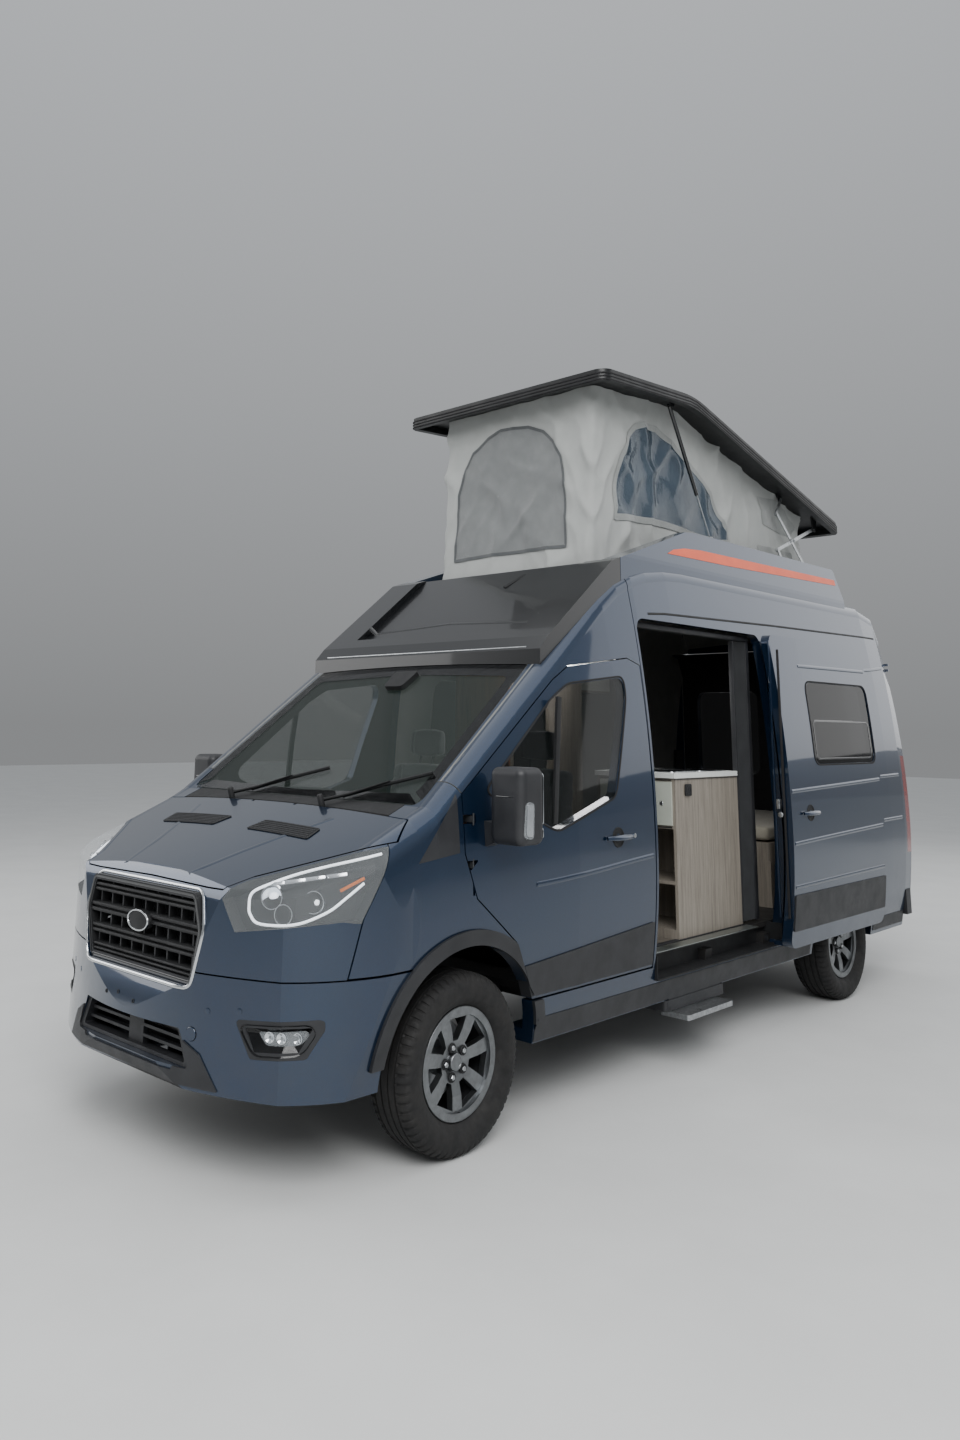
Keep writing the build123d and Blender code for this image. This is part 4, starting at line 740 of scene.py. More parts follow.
# Floor and light
def studio():
    """Pale floor, a world with a soft gradient, and area lights."""
    floor_mat = Mat("studio_floor", "cfd0cf", 0.75)
    floor_mat.vary(1.5, "cacbca")
    bm = bmesh.new()
    bmesh.ops.create_grid(bm, x_segments=4, y_segments=4, size=40)
    mesh = bpy.data.meshes.new("floor")
    bm.to_mesh(mesh)
    bm.free()
    mesh.materials.append(floor_mat.m)
    placed("floor", mesh)
    world = bpy.data.worlds.new("studio")
    world.use_nodes = True
    nodes, links = world.node_tree.nodes, world.node_tree.links
    back, ramp, split = nodes["Background"], nodes.new("ShaderNodeValToRGB"), nodes.new("ShaderNodeSeparateXYZ")
    links.new(nodes.new("ShaderNodeTexCoord").outputs["Generated"], split.inputs[0])
    links.new(split.outputs[2], ramp.inputs[0])
    links.new(ramp.outputs[0], back.inputs[0])
    low, high = ramp.color_ramp.elements
    low.position, low.color = 0.0, (0.42, 0.43, 0.44, 1)
    high.position, high.color = 0.6, (0.9, 0.93, 0.97, 1)
    back.inputs[1].default_value = 0.6
    bpy.context.scene.world = world
    for name, spot, size, power, target in (
            ("key", (7, -7, 8), 7, 1250, (0, -1, 1.5)), ("fill", (-8, -6, 5), 6, 320, (0, 0, 1.5)),
            ("top", (0, 0, 11), 12, 420, (0, 0, 0)), ("rear", (4, 9, 6), 9, 300, (0, 0, 1.5)),
            ("cabin", P(-100, 2150, 2330), 0.5, 14, P(-100, 2150, 600))):
        light = bpy.data.lights.new(name, "AREA")
        light.energy = power
        light.size = size
        lamp = placed(name, light)
        lamp.location = spot
        lamp.rotation_euler = (Vector(target) - Vector(spot)).to_track_quat("-Z", "Y").to_euler()


studio()


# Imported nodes: paint, lining, plastic and glass by place
def clad_top(d):
    """Height of the door cladding's upper edge."""
    return 690 + (d - 330) * 75 / 1060


masked("cab_frame", body_paint, [
    (dark_plastic, lambda x, d, z, n: z < 1400 and d < -100),
    (lining, lambda x, d, z, n: n.z < -0.25 or (n.x * x < -50 and abs(x) < 1000))])
for node, sign in (("side_left", 1), ("side_right", -1)):
    masked(node, body_paint, [
        (lining, lambda x, d, z, n, s=sign: n.x * s < -0.4 and abs(x) < 985 and 600 < z < 2640)])
masked("roof_shell", body_paint, [(lining, lambda x, d, z, n: n.z < -0.2)])
for node, sign in (("front_door_left", 1), ("front_door_right", -1)):
    masked(node, body_paint, [
        (black_plastic, lambda x, d, z, n, s=sign: 320 < d < 1396 and 552 < z < clad_top(d) + 3 and n.x * s > -0.2
         and abs(x) > 950),
        (dark_plastic, lambda x, d, z, n, s=sign: n.x * s < -0.3)])
masked("sliding_door", body_paint, [
    (black_plastic, lambda x, d, z, n: 2730 < d < 4102 and 558 < z < 774 and n.x > -0.2 and x > 1075),
    (dark_plastic, lambda x, d, z, n: n.x < -0.3 and z > 560)])
for node in ("rear_door_left", "rear_door_right"):
    masked(node, body_paint, [(dark_plastic, lambda x, d, z, n: n.y < -0.3)])
assign("bonnet wings nose_panel", body_paint)
masked("front_bumper", body_paint, [(dark_plastic, lambda x, d, z, n: n.y > 0.4 or z < 352)])
masked("body_trims", black_plastic, [(zinc, lambda x, d, z, n: z < 292)])
assign("mirror_left mirror_right rear_bumper bumper_inserts", black_plastic)
assign("inner_panels", primer)
assign("roof_cap", roof_paint)
assign("roof_fairings", body_paint)
assign("lid", lid_shell)
masked("fixed_glass", screen_glass, [(dark_glass, lambda x, d, z, n: d > 1300)])
assign("door_glass_left door_glass_right", door_glass)
assign("rear_glass_left rear_glass_right", dark_glass)
masked("grille", dark_plastic, [(black_plastic, lambda x, d, z, n: n.y < -0.5)])
masked("headlamps", dark_plastic, [(lens_glass, lambda x, d, z, n: n.y < -0.15 or n.x * x > 500)])
masked("tail_lamps", lens_red, [(black_plastic, lambda x, d, z, n: x * n.x < -0.5 * abs(x) or n.y < -0.7)])
assign("roof_brackets lift_arm_lower lift_arm_upper lift_link_top lift_link_low strut_rod", zinc)
assign("strut_cylinder", gloss_black)
assign("chassis front_suspension rear_axle tank_and_exhaust knuckle_left knuckle_right", steel_black)
assign("engine_block", primer)
assign("dashboard steering_wheel", dark_plastic)
assign("cab_seats", seat_cloth)
masked("kitchen_unit", grey_wood, [
    (worktop_white, lambda x, d, z, n: z > 1459),
    (locker_white, lambda x, d, z, n: d < 1884 and 1198 < z < 1442 and 358 < x < 844)])
assign("rear_furniture", grey_wood)
assign("mattress", mattress_cloth)
assign("flyscreen", pleat_cloth)
assign("tent", canvas)
for axle, hand, sign, x_mid, station in WHEELS:
    assign("tyre_%s_%s" % (axle, hand), tread_rubber)
    # Past 186 mm from the hub, the rims' barrel and window walls take dark plastic: painted shade in the wheel's
    # hollow.
    masked("rim_%s_%s" % (axle, hand), alloy, [
        (dark_plastic, lambda x, d, z, n, s=sign, m=x_mid, c=station:
         math.hypot(d - c, z - HUB_UP) > 186 and x * s < m + 60 and abs(n.x) < 0.5),
        (zinc, lambda x, d, z, n, s=sign, m=x_mid: x * s < m + 22 and abs(n.x) > 0.5)])


# Tyres with grooves and shoulder lugs, and the small parts of the wheels
def arc3(a, b, c, steps):
    """Points on the circle through a, b and c."""
    ax, ay, bx, by, cx, cy = *a, *b, *c
    k = 2 * (ax * (by - cy) + bx * (cy - ay) + cx * (ay - by))
    ux = ((ax * ax + ay * ay) * (by - cy) + (bx * bx + by * by) * (cy - ay) + (cx * cx + cy * cy) * (ay - by)) / k
    uy = ((ax * ax + ay * ay) * (cx - bx) + (bx * bx + by * by) * (ax - cx) + (cx * cx + cy * cy) * (bx - ax)) / k
    start, end = math.atan2(ay - uy, ax - ux), math.atan2(cy - uy, cx - ux)
    while end - start > math.pi:
        end -= 2 * math.pi
    while end - start < -math.pi:
        end += 2 * math.pi
    r = math.hypot(ax - ux, ay - uy)
    return [(ux + r * math.cos(start + (end - start) * i / steps),
             uy + r * math.sin(start + (end - start) * i / steps)) for i in range(steps + 1)]


def tyre_section():
    """(across, radius, lug depth) round the tyre's section, from one bead to the other."""
    wall = arc3((79, 224), (117.5, 288), (105.5, 338), 12)
    out = [(79, 204, 0)]
    for i, (x, r) in enumerate(wall):
        out.append((x + (1.2 if i in (2, 3, 9) else 0), r, 5 if i > 10 else 0))
    out += [(98, 344, 6), (85.5, 353, 6), (70, 355.2, 6)]
    for groove in (58, 20):
        out += [(groove + 5.5, 356, 0), (groove + 4, 348, 0), (groove - 4, 348, 0), (groove - 5.5, 356, 0)]
    return out + [(-x, r, lug) for x, r, lug in reversed(out)]


section = tyre_section()
size = len(section)
LUGS = 62
for axle, hand, sign, x_mid, station in WHEELS:
    # Each lug's rim angles, as shares of its pitch; the last two carry the groove between lugs
    angles = [(k + part) * 2 * math.pi / LUGS for k in range(LUGS) for part in (0, 0.60, 0.68, 0.92)]
    verts, faces = [], []
    for index, angle in enumerate(angles):
        for x, r, lug in section:
            low = r - (lug if index % 4 in (2, 3) else 0)
            verts.append(P(x_mid * sign + x, station + low * math.sin(angle), HUB_UP - low * math.cos(angle)))
    for i in range(len(angles)):
        j = (i + 1) % len(angles)
        for k in range(size):
            n = (k + 1) % size
            faces.append((i * size + k, i * size + n, j * size + n, j * size + k))
    name = "%s_%s" % (axle, hand)
    wheel = "wheel_" + name
    tyre = obj("tread_" + name, verts, faces, tread_rubber, wheel, sharp=30)
    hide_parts("tyre_" + name)
    axis = Vector((sign, 0, 0))
    face = x_mid + 58

    def hub(x, across=0.0, up=0.0, s=sign, c=station):
        return P(x * s, c + across, HUB_UP + up)

    nuts, rings = [], []
    for k in range(5):
        t = 2 * math.pi * (k + 0.5) / 5
        spot = hub(face - 2, 60 * math.cos(t), 60 * math.sin(t))
        nuts.append(b_lathe([(-6, 0.0), (-6, 11.5), (8, 11.5), (11, 9), (12, 0.0)], spot, axis, 6, t))
        rings.append(b_lathe([(-4, 13), (3.5, 13), (5, 15), (5, 18), (3.5, 20), (-4, 20)], spot, axis, 20, 0, True))
    cap = b_lathe([(-4, 0.0), (-4, 36), (8, 35), (11, 32), (11, 26), (9.5, 25), (9.5, 0.0)], hub(face - 2), axis, 40)
    lip = b_lathe([(84, 216), (86.5, 217), (87.5, 219.5), (86, 221.5), (82, 221.5), (82, 216)], hub(x_mid), axis, 120,
        0, True)
    valve = b_tube([hub(x_mid + 58, 0, -198), hub(x_mid + 84, 0, -190)], 4.2, 10)
    for kind, solids, material in (("nuts", nuts, zinc), ("rings", rings, dark_plastic), ("cap", [cap], alloy),
            ("lip", [lip], alloy), ("valve", [valve], dark_plastic)):
        merged("wheel_%s_%s" % (kind, name), solids, material, wheel, 30)


# Tent: one long sheet round the bed, gathered at the roof and pulled taut below the lid
LID = tree_of("lid")
ROOFS = tree_of("roof_cap roof_fairings roof_shell")
TENT_HALF, TENT_RUN, TENT_LEVEL = 606, 7640, 3200  # half width, way round, and the height at which both are measured
TENT_FRONT, TENT_REAR = ((1458, 2500), (1524, 3900)), ((4206, 2500), (4230, 3900))
TENT_CORNERS = (0, 1212, 3930, 5142)  # along the way round
SEWN_TALL = 900  # length that stands for the full height share when goods are cut out flat
TENT_SPOTS = 1600


def under_lid(x, d):
    """Height of the lid's underside, read further in where (x, d) lies past its edge."""
    for inside in (x, max(-560, min(560, x))):
        spot, _, _, _ = LID.ray_cast(P(inside, d, 2960), Vector((0, 0, 1)))
        if spot is not None:
            return spot.z * 1000
    return 3800


def over_roof(x, d):
    """Height of the roof's skin."""
    spot, _ = hit(ROOFS, "T", x, d)
    return 2700 if spot is None else spot.z * 1000


def tent_edge(run, up):
    """Place of a leaning wall at a height."""
    (d0, z0), (d1, z1) = run
    return d0 + (d1 - d0) * (up - z0) / (z1 - z0)


def tent_plan(s, up):
    """Point (x, d) and outward way of the tent's wall at perimeter share s and height up."""
    f, r = tent_edge(TENT_FRONT, up), tent_edge(TENT_REAR, up)
    outline = rect(-TENT_HALF, f, TENT_HALF, r, 46, 6)
    lengths = [math.hypot(outline[i][0] - outline[i - 1][0], outline[i][1] - outline[i - 1][1])
               for i in range(len(outline))]
    left = s * sum(lengths)
    for i in range(len(outline)):
        j = (i + 1) % len(outline)
        if left <= lengths[j] or i == len(outline) - 1:
            a, b = Vector(outline[i]), Vector(outline[j])
            run = (b - a).normalized() if (b - a).length > 1e-9 else Vector((1, 0))
            return a + run * min(left, lengths[j]), Vector((run.y, -run.x))
        left -= lengths[j]


def crisp(t):
    """Repeating fold with a narrow crest and a wide valley."""
    return 1.6 * (1 - abs(math.sin(t / 2))) ** 1.7 - 0.6


def tent_point(s, share, proud=0.0):
    """Cloth at perimeter share s and height share from hem to lid, with its folds."""
    spot, _ = tent_plan(s, TENT_LEVEL)
    low, high = over_roof(spot.x, spot.y) - 6, under_lid(spot.x, spot.y) - 3
    up = low + (high - low) * share
    spot, way = tent_plan(s, up)
    run = s * TENT_RUN
    tall = max(60.0, high - low)
    slack = min(1.0, tall / 500)
    gather = math.exp(-share * tall / 130)
    taut = math.exp(-(1 - share) * tall / 160)
    corner = min(abs((run - c + TENT_RUN / 2) % TENT_RUN - TENT_RUN / 2) for c in TENT_CORNERS)
    pull = math.exp(-corner / 260)
    belly = math.sin(math.pi * min(1.0, max(0.0, share))) ** 0.6
    out = -16.0 * belly * slack * (1 - pull)
    out += 8.0 * gather * crisp(run / 23 + 2.0 * wave(run / 140, 0, 1)) * (0.6 + 0.4 * wave(run / 300, 1, 2))
    out += 4.0 * taut * crisp(run / 34 + wave(run / 200, 2, 3))
    out += 9.0 * wave(run / 150 + up / 420, up / 190, 4) * slack * (1 - 0.5 * pull)
    for lean, wide, seed in ((0.9, 66, 5), (-0.7, 78, 6), (0.25, 47, 7)):
        patchy = max(0.0, wave(run / 260 + seed, up / 210, seed * 1.3) + 0.25)
        out += 15.0 * crisp((run + up * lean) / wide + 1.5 * wave(run / 190, up / 170, seed)) * patchy * slack
    out += 13.0 * pull * crisp((corner - up * 0.45) / 26 + wave(up / 90, run / 300, 9)) * belly
    out += 10 * gather
    spot = spot + way * (out + proud)
    sag = (3 * math.sin(run / 61) + 3 * wave(run / 90, 0, 8)) * gather
    return P(spot.x, spot.y, up + sag)


columns, rows = 560, 56
verts = [tent_point(i / columns, j / rows) for i in range(columns) for j in range(rows + 1)]
faces = []
for i in range(columns):
    here, there = i * (rows + 1), (i + 1) % columns * (rows + 1)
    faces += [(here + j, there + j, there + j + 1, here + j + 1) for j in range(rows)]
tent = obj("tent_cloth", verts, faces, canvas, sharp=180)
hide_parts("tent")
TENT_RING = [tuple(tent_plan(k / TENT_SPOTS, TENT_LEVEL)[0]) for k in range(TENT_SPOTS)]


def share_of(x, d, z):
    """Perimeter and height share of a place on the tent's wall."""
    best = min(range(TENT_SPOTS), key=lambda k: (TENT_RING[k][0] - x) ** 2 + (TENT_RING[k][1] - d) ** 2)
    low, high = over_roof(*TENT_RING[best]) - 6, under_lid(*TENT_RING[best]) - 3
    return best / TENT_SPOTS, (z - low) / (high - low)


def tent_sewn(name, material, outline, proud, band=None):
    """Goods sewn on the tent inside an outline of (x, d, z) corners; with band, only a strip along it."""
    flat = [(s * TENT_RUN, v * SEWN_TALL) for s, v in (share_of(*p) for p in outline)]

    def sewn_on(p):
        return tent_point(p.x / TENT_RUN, p.y / SEWN_TALL, proud)

    if band is None:
        bm = b_clipped(flat, lambda span: max(3, round(span / 14)), 1e-3, 1e-4)
        for vert in bm.verts:
            vert.co = sewn_on(vert.co)
    else:
        dense = [Vector(p) for p in densify(flat, 16)]
        bm = bmesh.new()
        strips = []
        for i, p in enumerate(dense):
            run = (dense[(i + 1) % len(dense)] - dense[i - 1]).normalized()
            off = Vector((run.y, -run.x)) * (band / 2)
            strips.append([bm.verts.new(sewn_on(p + off * w)) for w in (-1, 0, 1)])
        for i in range(len(strips)):
            a, b = strips[i - 1], strips[i]
            for k in range(2):
                bm.faces.new((a[k], b[k], b[k + 1], a[k + 1]))
    outwards(bm)
    bmesh.ops.solidify(bm, geom=bm.faces[:], thickness=-0.0012)
    return merged(name, [bm], material, sharp=60)


arch = [(x, 1500, z) for x, z in (
    (-479, 2790), (-466, 3227), (-425, 3400), (-350, 3500), (-230, 3580), (-114, 3611), (94, 3600), (210, 3550),
    (300, 3470), (360, 3360), (390, 3200), (409, 2794))]
window = ((1729, 2985), (1748, 3180), (1800, 3380), (1883, 3533), (1950, 3600), (2040, 3632), (2209, 3640),
          (2899, 3330), (3133, 3014), (2900, 2990))
patch_high = ((3534, 3416), (3871, 3430), (4148, 3272), (4060, 3178), (3612, 3219))
patch_low = ((3545, 3060), (4063, 3060), (4063, 2975), (3545, 2975))
sewn = [tent_sewn("tent_mesh_front", mesh_cloth, arch, 3.0), tent_sewn("tent_zip_front", zip_tape, arch, 4.6, 16)]
# The tent windows use the film, whose blue-grey colour is painted reflection.
for hand, x in (("_left", TENT_HALF), ("_right", -TENT_HALF)):
    for name, material, outline, *fit in (
            ("tent_film", film, window, 4.5), ("tent_film_tape", canvas_tape, window, 6.0, 34),
            ("tent_patch_high", canvas_tape, patch_high, 3.5), ("tent_patch_low", canvas_tape, patch_low, 3.5)):
        sewn.append(tent_sewn(name + hand, material, [(x, d, z) for d, z in outline], *fit))
for piece in [tent] + sewn:
    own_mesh(piece)


# Nose: grille, lamps, bumper, bonnet vents and wipers
NOSE = tree_of("nose_panel front_bumper")
BONNET = tree_of("bonnet")
GLASS = tree_of("fixed_glass")
BUMPER = tree_of("front_bumper")
FOGS = tree_of("bumper_inserts front_bumper")
grille_line = [(400, 718), (452, 925), (405, 1066), (-405, 1066), (-452, 925), (-400, 718)]
BEAD = [(0, -7), (3.5, -6.2), (5.5, -3.2), (6, 0), (5.5, 3.2), (3.5, 6.2), (0, 7), (-3, 7), (-3, -7)]
chrome_run = b_run(NOSE, "F", grown(rounded(grille_line, 34, 6), 9), BEAD, True, 24)
merged("grille_surround", [chrome_run], chrome)
inner_line = grown(rounded(grille_line, 30, 6), -7)
inner_rim = b_rim(inner_line, lambda x, z: P(x, -962, z), (0, -1, 0), [(0, -8), (6, -8), (8, -4), (6, 6), (0, 8)])
merged("grille_frame", [inner_rim], gloss_black)
bars = []
for height, depth, half in ((1012, 38, 398), (925, 44, 424), (838, 40, 404), (762, 34, 386)):
    for low, high, proud in ((-0.5, -0.06, 15), (0.06, 0.5, 15), (-0.12, 0.12, 7)):
        z0, z1 = height + depth * low, height + depth * high
        bars.append(b_prism([(-946, z0), (-946 - proud, z0 + 3), (-946 - proud - 2, (z0 + z1) / 2),
            (-946 - proud, z1 - 3), (-946, z1)], side, -half, half))
merged("grille_bars", bars, dark_plastic, sharp=30)
core = [b_box(-392, 392, -846, -836, 722, 1062)]
core += [b_box(-388, 388, -852, -846, z, z + 2) for z in range(728, 1060, 9)]
core += [b_box(x - 7, x + 7, -856, -846, 724, 1060) for x in (-392, 392)]
core.append(b_box(-330, 330, -846, -838, 430, 560))
merged("radiator_core", core, primer, sharp=30)
boss = [(78 * math.cos(t), 915 + 40 * math.sin(t)) for t in (2 * math.pi * k / 40 for k in range(40))]
merged("grille_boss", [b_prism(boss, front, -980, -945, 4)], dark_plastic)
rim_spots = [(P(x, -980, z), Vector((0, -1, 0))) for x, z in boss]
merged("grille_boss_rim", [sweep(rim_spots, [(0, -4), (3, -3), (4, 0), (3, 3), (0, 4)], True)], chrome, sharp=50)

bowls, glow, cells, brows, amber = [], [], [], [], []
for x, d, z, r in ((708, -822, 1070, 43), (756, -800, 1008, 36), (842, -722, 1056, 40)):
    way = Vector((0.42, -0.9, 0.05))
    bowls.append(b_lathe([(-26, 0.0), (-24, r * 0.45), (-12, r * 0.8), (4, r), (7, r), (7, r + 3), (-14, r + 3),
        (-34, 0)], P(x, d, z), way, 36))
    cells.append(b_lathe([(-22, 0.0), (-22, r * 0.4), (-10, r * 0.42), (-3, r * 0.26), (0, 0.0)], P(x, d, z), way, 28))
drl = [(940, -462, 1226), (902, -545, 1208), (800, -640, 1176), (735, -735, 1148), (684, -810, 1118), (640, -868, 1084),
       (628, -872, 1030), (634, -868, 1000), (664, -855, 972), (740, -818, 968), (800, -780, 975), (842, -738, 992),
       (880, -672, 1024), (905, -620, 1064), (934, -548, 1120)]
glow.append(b_tube(smooth_path([P(*p) for p in drl], 5), 5.5, 8))
for x, d, z in ((700, -800, 1118), (760, -760, 1130), (818, -708, 1142), (870, -640, 1152)):
    brows.append(b_bar(P(x - 30, d - 22, z - 8), P(x + 34, d + 30, z + 4), 16, 10, (0.4, -0.8, 0.3), 2))
amber.append(b_bar(P(898, -640, 1096), P(936, -548, 1140), 12, 8, (0.9, -0.4, 0), 2))
both("lamp_bowls", bowls, reflector)
both("lamp_cells", cells, lamp_white)
both("lamp_light_line", glow, lamp_white, sharp=60)
both("lamp_brows", brows, reflector)
both("lamp_amber", amber, lens_amber)

fog_ring = [(648, 604), (872, 616), (880, 590), (852, 520), (706, 512)]
fog_lens = [(700, 588), (852, 600), (860, 582), (838, 548), (734, 542)]
both("fog_bezel", [b_ring(FOGS, "F", grown(rounded(fog_ring, 26, 4), 8), rounded(fog_lens, 14, 4), 3, 5, 90)],
     gloss_black)
both("fog_lens", [b_patch(FOGS, "F", rounded(fog_lens, 14, 4), 2.5, 3, 22)], lens_glass, sharp=60)
cups = [b_lathe([(-4, 0.0), (2, 9), (6, 17), (7, 18), (7, 20), (-4, 20)], hit(FOGS, "F", x, 572)[0], (0.42, -0.9, 0),
    28) for x in (745, 790, 832)]
both("fog_cups", cups, reflector)

# Dark cups on the bumper where the number plate holes are: their colour is painted shade inside the holes.
holes = [b_lathe([(-3, 0.0), (-3, 6.5), (1.2, 6.5), (1.2, 8.5), (2.2, 8.5), (2.2, 5.5), (-1.5, 5), (-1.5, 0.0)],
    hit(BUMPER, "F", x, z)[0], (0, -1, 0.1), 18) for x, z in ((-149, 616), (-56, 628), (68, 613))]
merged("plate_holes_painted_shade", holes, dark_plastic, sharp=30)
sensors = [b_lathe([(-3, 0.0), (-3, 12), (1.4, 12), (2, 9), (2, 0.0)], hit(BUMPER, "F", x, z)[0],
    hit(BUMPER, "F", x, z)[1], 24) for x, z in ((640, 655), (500, 640))]
both("parking_sensors", sensors, body_paint, sharp=30)
merged("tow_cap", [b_lathe([(-5, 0.0), (-5, 24), (1.5, 25.5), (3, 24), (3, 0.0)], P(425, -973, 547), (0.24, -0.97, 0),
    30)], body_paint, sharp=30)

# Each bonnet vent's outline, and where its slats start and end, with the step from one slat to the next
for name, outline, (a, a_step), (b, b_step) in (
        ("near", [(130, -538), (560, -538), (548, -452), (164, -452)], (144, 4), (546, -2)),
        ("far", [(-560, -538), (-130, -538), (-96, -452), (-572, -452)], (-546, -2), (-144, 4))):
    merged("vent_floor_" + name, [b_patch(BONNET, "T", rounded(outline, 14, 3), 1.2, 3, 45)], dark_plastic, "bonnet")
    slats = [b_run(BONNET, "T", [(a + k * a_step, -528 + k * 13.5), (b + k * b_step, -528 + k * 13.5)],
        [(1, -4), (7, -1), (7, 2), (1, 4)], False, 60) for k in range(6)]
    merged("vent_slats_" + name, slats, black_plastic, "bonnet", 30)
bonnet_crease = b_run(BONNET, "T", [(250, -905), (330, -700), (420, -520), (520, -360)], [(0, -16), (3.2, 0), (0, 16)],
    False, 60)
both("bonnet_creases", [bonnet_crease], body_paint, ("bonnet", "bonnet"), 80)

screen_outer = [(855, 1400), (783, 2060), (-783, 2060), (-855, 1400)]
screen_inner = [(788, 1440), (728, 1984), (110, 2004), (-110, 2004), (-728, 1984), (-788, 1440), (0, 1425)]
merged("screen_frit", [b_ring(GLASS, "F", rounded(screen_outer, 30, 4), rounded(screen_inner, 40, 4), 0.8, 1.2, 200)],
       gloss_black)
merged("screen_sensor", [b_patch(GLASS, "F", rounded([(-70, 1925), (70, 1925), (90, 2010), (-90, 2010)], 18, 4), -7, 30,
    30)], dark_plastic)


def wiper(shift):
    """Arm and blade laid on the screen."""
    blade = [(329 + shift, 1392), (467 + shift, 1433), (563 + shift, 1460), (796 + shift, 1519)]
    pieces = [b_run(GLASS, "F", blade, [(2, -1.5), (12, -1.5), (14, -9), (19, -6), (20, 4), (13, 8), (12, 1.5),
        (2, 1.5)], False, 40)]
    arm = [(329 + shift, 1372), (420 + shift, 1405), (600 + shift, 1468)]
    spots = [spot for spot, _ in laid(GLASS_AND_COWL, "F", arm, 24, 60)]
    pieces.append(b_tube(spots, lambda t: 11 - 6 * t, 8, False, 0.6))
    pieces.append(b_lathe([(-30, 0.0), (-30, 15), (20, 15), (27, 11), (28, 0.0)], spots[0], (0, -0.3, 0.95), 24))
    return pieces


GLASS_AND_COWL = tree_of("fixed_glass cab_frame")
merged("wipers", wiper(0) + wiper(-700), dark_plastic)


# Doors and sides: seals, handles, creases, mirrors and the rail groove's painted shade
CREASE = [(-2, -14), (0, -12), (3.4, 0), (0, 12), (-2, 14)]
SEAL = [(-2, -5), (2.5, -5), (4.5, 0), (2.5, 5), (-2, 5)]
DOOR = tree_of("front_door_left")
SLIDE = tree_of("sliding_door")
SIDE = tree_of("side_left")
SIDE_R = tree_of("side_right")
door_window = [(125, 1452), (640, 1868), (775, 1945), (1225, 1998), (1228, 1900), (1062, 1402), (590, 1262)]


def creases(tree, view, lines, cell=80):
    """Pressed lines laid on a panel."""
    return [b_run(tree, view, line, CREASE, False, cell) for line in lines]


both("front_window_seal", [b_run(DOOR, "L", grown(rounded(door_window, 42, 5), 7), SEAL, True, 34)], rubber,
    FRONT_DOORS)
divider = [P(1004, 633, 1880), P(1014, 604, 1620), P(1018, 578, 1290)]
both("window_divider", [sweep([(p, Vector((1, 0, 0))) for p in divider], [(-14, -15), (0, -15), (2, 0), (0, 15),
    (-14, 15)])], dark_plastic, FRONT_DOORS)
front_lines = creases(DOOR, "L", [[(430, 1034), (594, 1040), (906, 1059), (1218, 1082), (1380, 1092)]], 60)
both("front_door_creases", front_lines, body_paint, FRONT_DOORS, 80)


def handle(tree, view, a, b, z, centre):
    """Grip bar over a round recess, with its two feet; the callers give the recess cup dark plastic as painted shade.
    """
    base, way = hit(tree, view, centre, z)
    grip = [(hit(tree, view, a + (b - a) * k / 12, z)[0] + way * (0.009 + 0.018 * math.sin(math.pi * k / 12) ** 0.5))
            for k in range(13)]
    bar = [b_tube(grip, lambda t: 8 + 3.5 * math.sin(math.pi * t), 12, False, 1.35)]
    cup = [b_lathe([(-1, 0.0), (0.6, 30), (0.8, 43), (2.4, 45), (2.4, 49), (-1, 50)], base, way, 40)]
    return bar, cup


grip, cup = handle(DOOR, "L", 965, 1175, 1201, 1069)
both("front_handle_grip", grip, body_paint, FRONT_DOORS, 50)
# The recess cups take dark plastic: painted shade in the body-coloured dish under each grip.
both("front_handle_recess_painted_shade", cup, dark_plastic, FRONT_DOORS, 50)
locks = [b_lathe([(0, 0.0), (0, 11), (3, 11), (4, 9), (4, 0.0)], hit(DOOR, "L", 1215, 1201)[0], (1, 0, 0), 20)]
both("front_locks", locks, zinc, FRONT_DOORS)
grip, cup = handle(SLIDE, "L", 2868, 3078, 1238, 2975)
merged("sliding_handle_grip", grip, body_paint, sharp=50)
# Dark plastic on the recess cup is painted shade in the body-coloured dish under the grip.
merged("sliding_handle_recess_painted_shade", cup, dark_plastic, sharp=50)

slide_window = [(3108, 1530), (3108, 2045), (4053, 2045), (4053, 1530)]
right_window = [(1750, 1540), (1750, 2050), (2900, 2050), (2900, 1540)]
SLIDE_GLASS = tree_of("sliding_door fixed_glass")
merged("sliding_window_seal", [b_run(SLIDE, "L", grown(rounded(slide_window, 70, 6), 6), SEAL, True, 40)], rubber)
vent = [(3150, 1560), (3150, 1800), (4010, 1800), (4010, 1560)]
merged("sliding_window_frame", [b_run(SLIDE_GLASS, "L", rounded(vent, 40, 6), [(0.3, -6), (2, -4), (2, 4), (0.3, 6)],
    True, 50)], gloss_black)
merged("right_window_seal", [b_run(SIDE_R, "R", grown(rounded(right_window, 90, 6), 6), SEAL, True, 40)], rubber)
for name, tree, view, cell, lines in (
        ("sliding_door_creases", SLIDE, "L", 80, [
            [(2744, 1373), (3400, 1392), (4085, 1413)], [(2744, 1067), (3400, 1088), (4085, 1108)],
            [(2744, 816), (3400, 825), (4085, 833)], [(3051, 2145), (3600, 2150), (4080, 2154)]]),
        ("quarter_creases", SIDE, "L", 80, [
            [(4120, 1413), (4760, 1425)], [(4120, 1108), (4760, 1118)], [(4120, 2165), (4500, 2190), (4770, 2216)]]),
        ("right_side_creases", SIDE_R, "R", 120, [
            [(1440, 1373), (3000, 1392), (4760, 1425)], [(1440, 1067), (3000, 1088), (4760, 1118)],
            [(1500, 2150), (4770, 2216)]])):
    merged(name, creases(tree, view, lines, cell), body_paint, sharp=80)
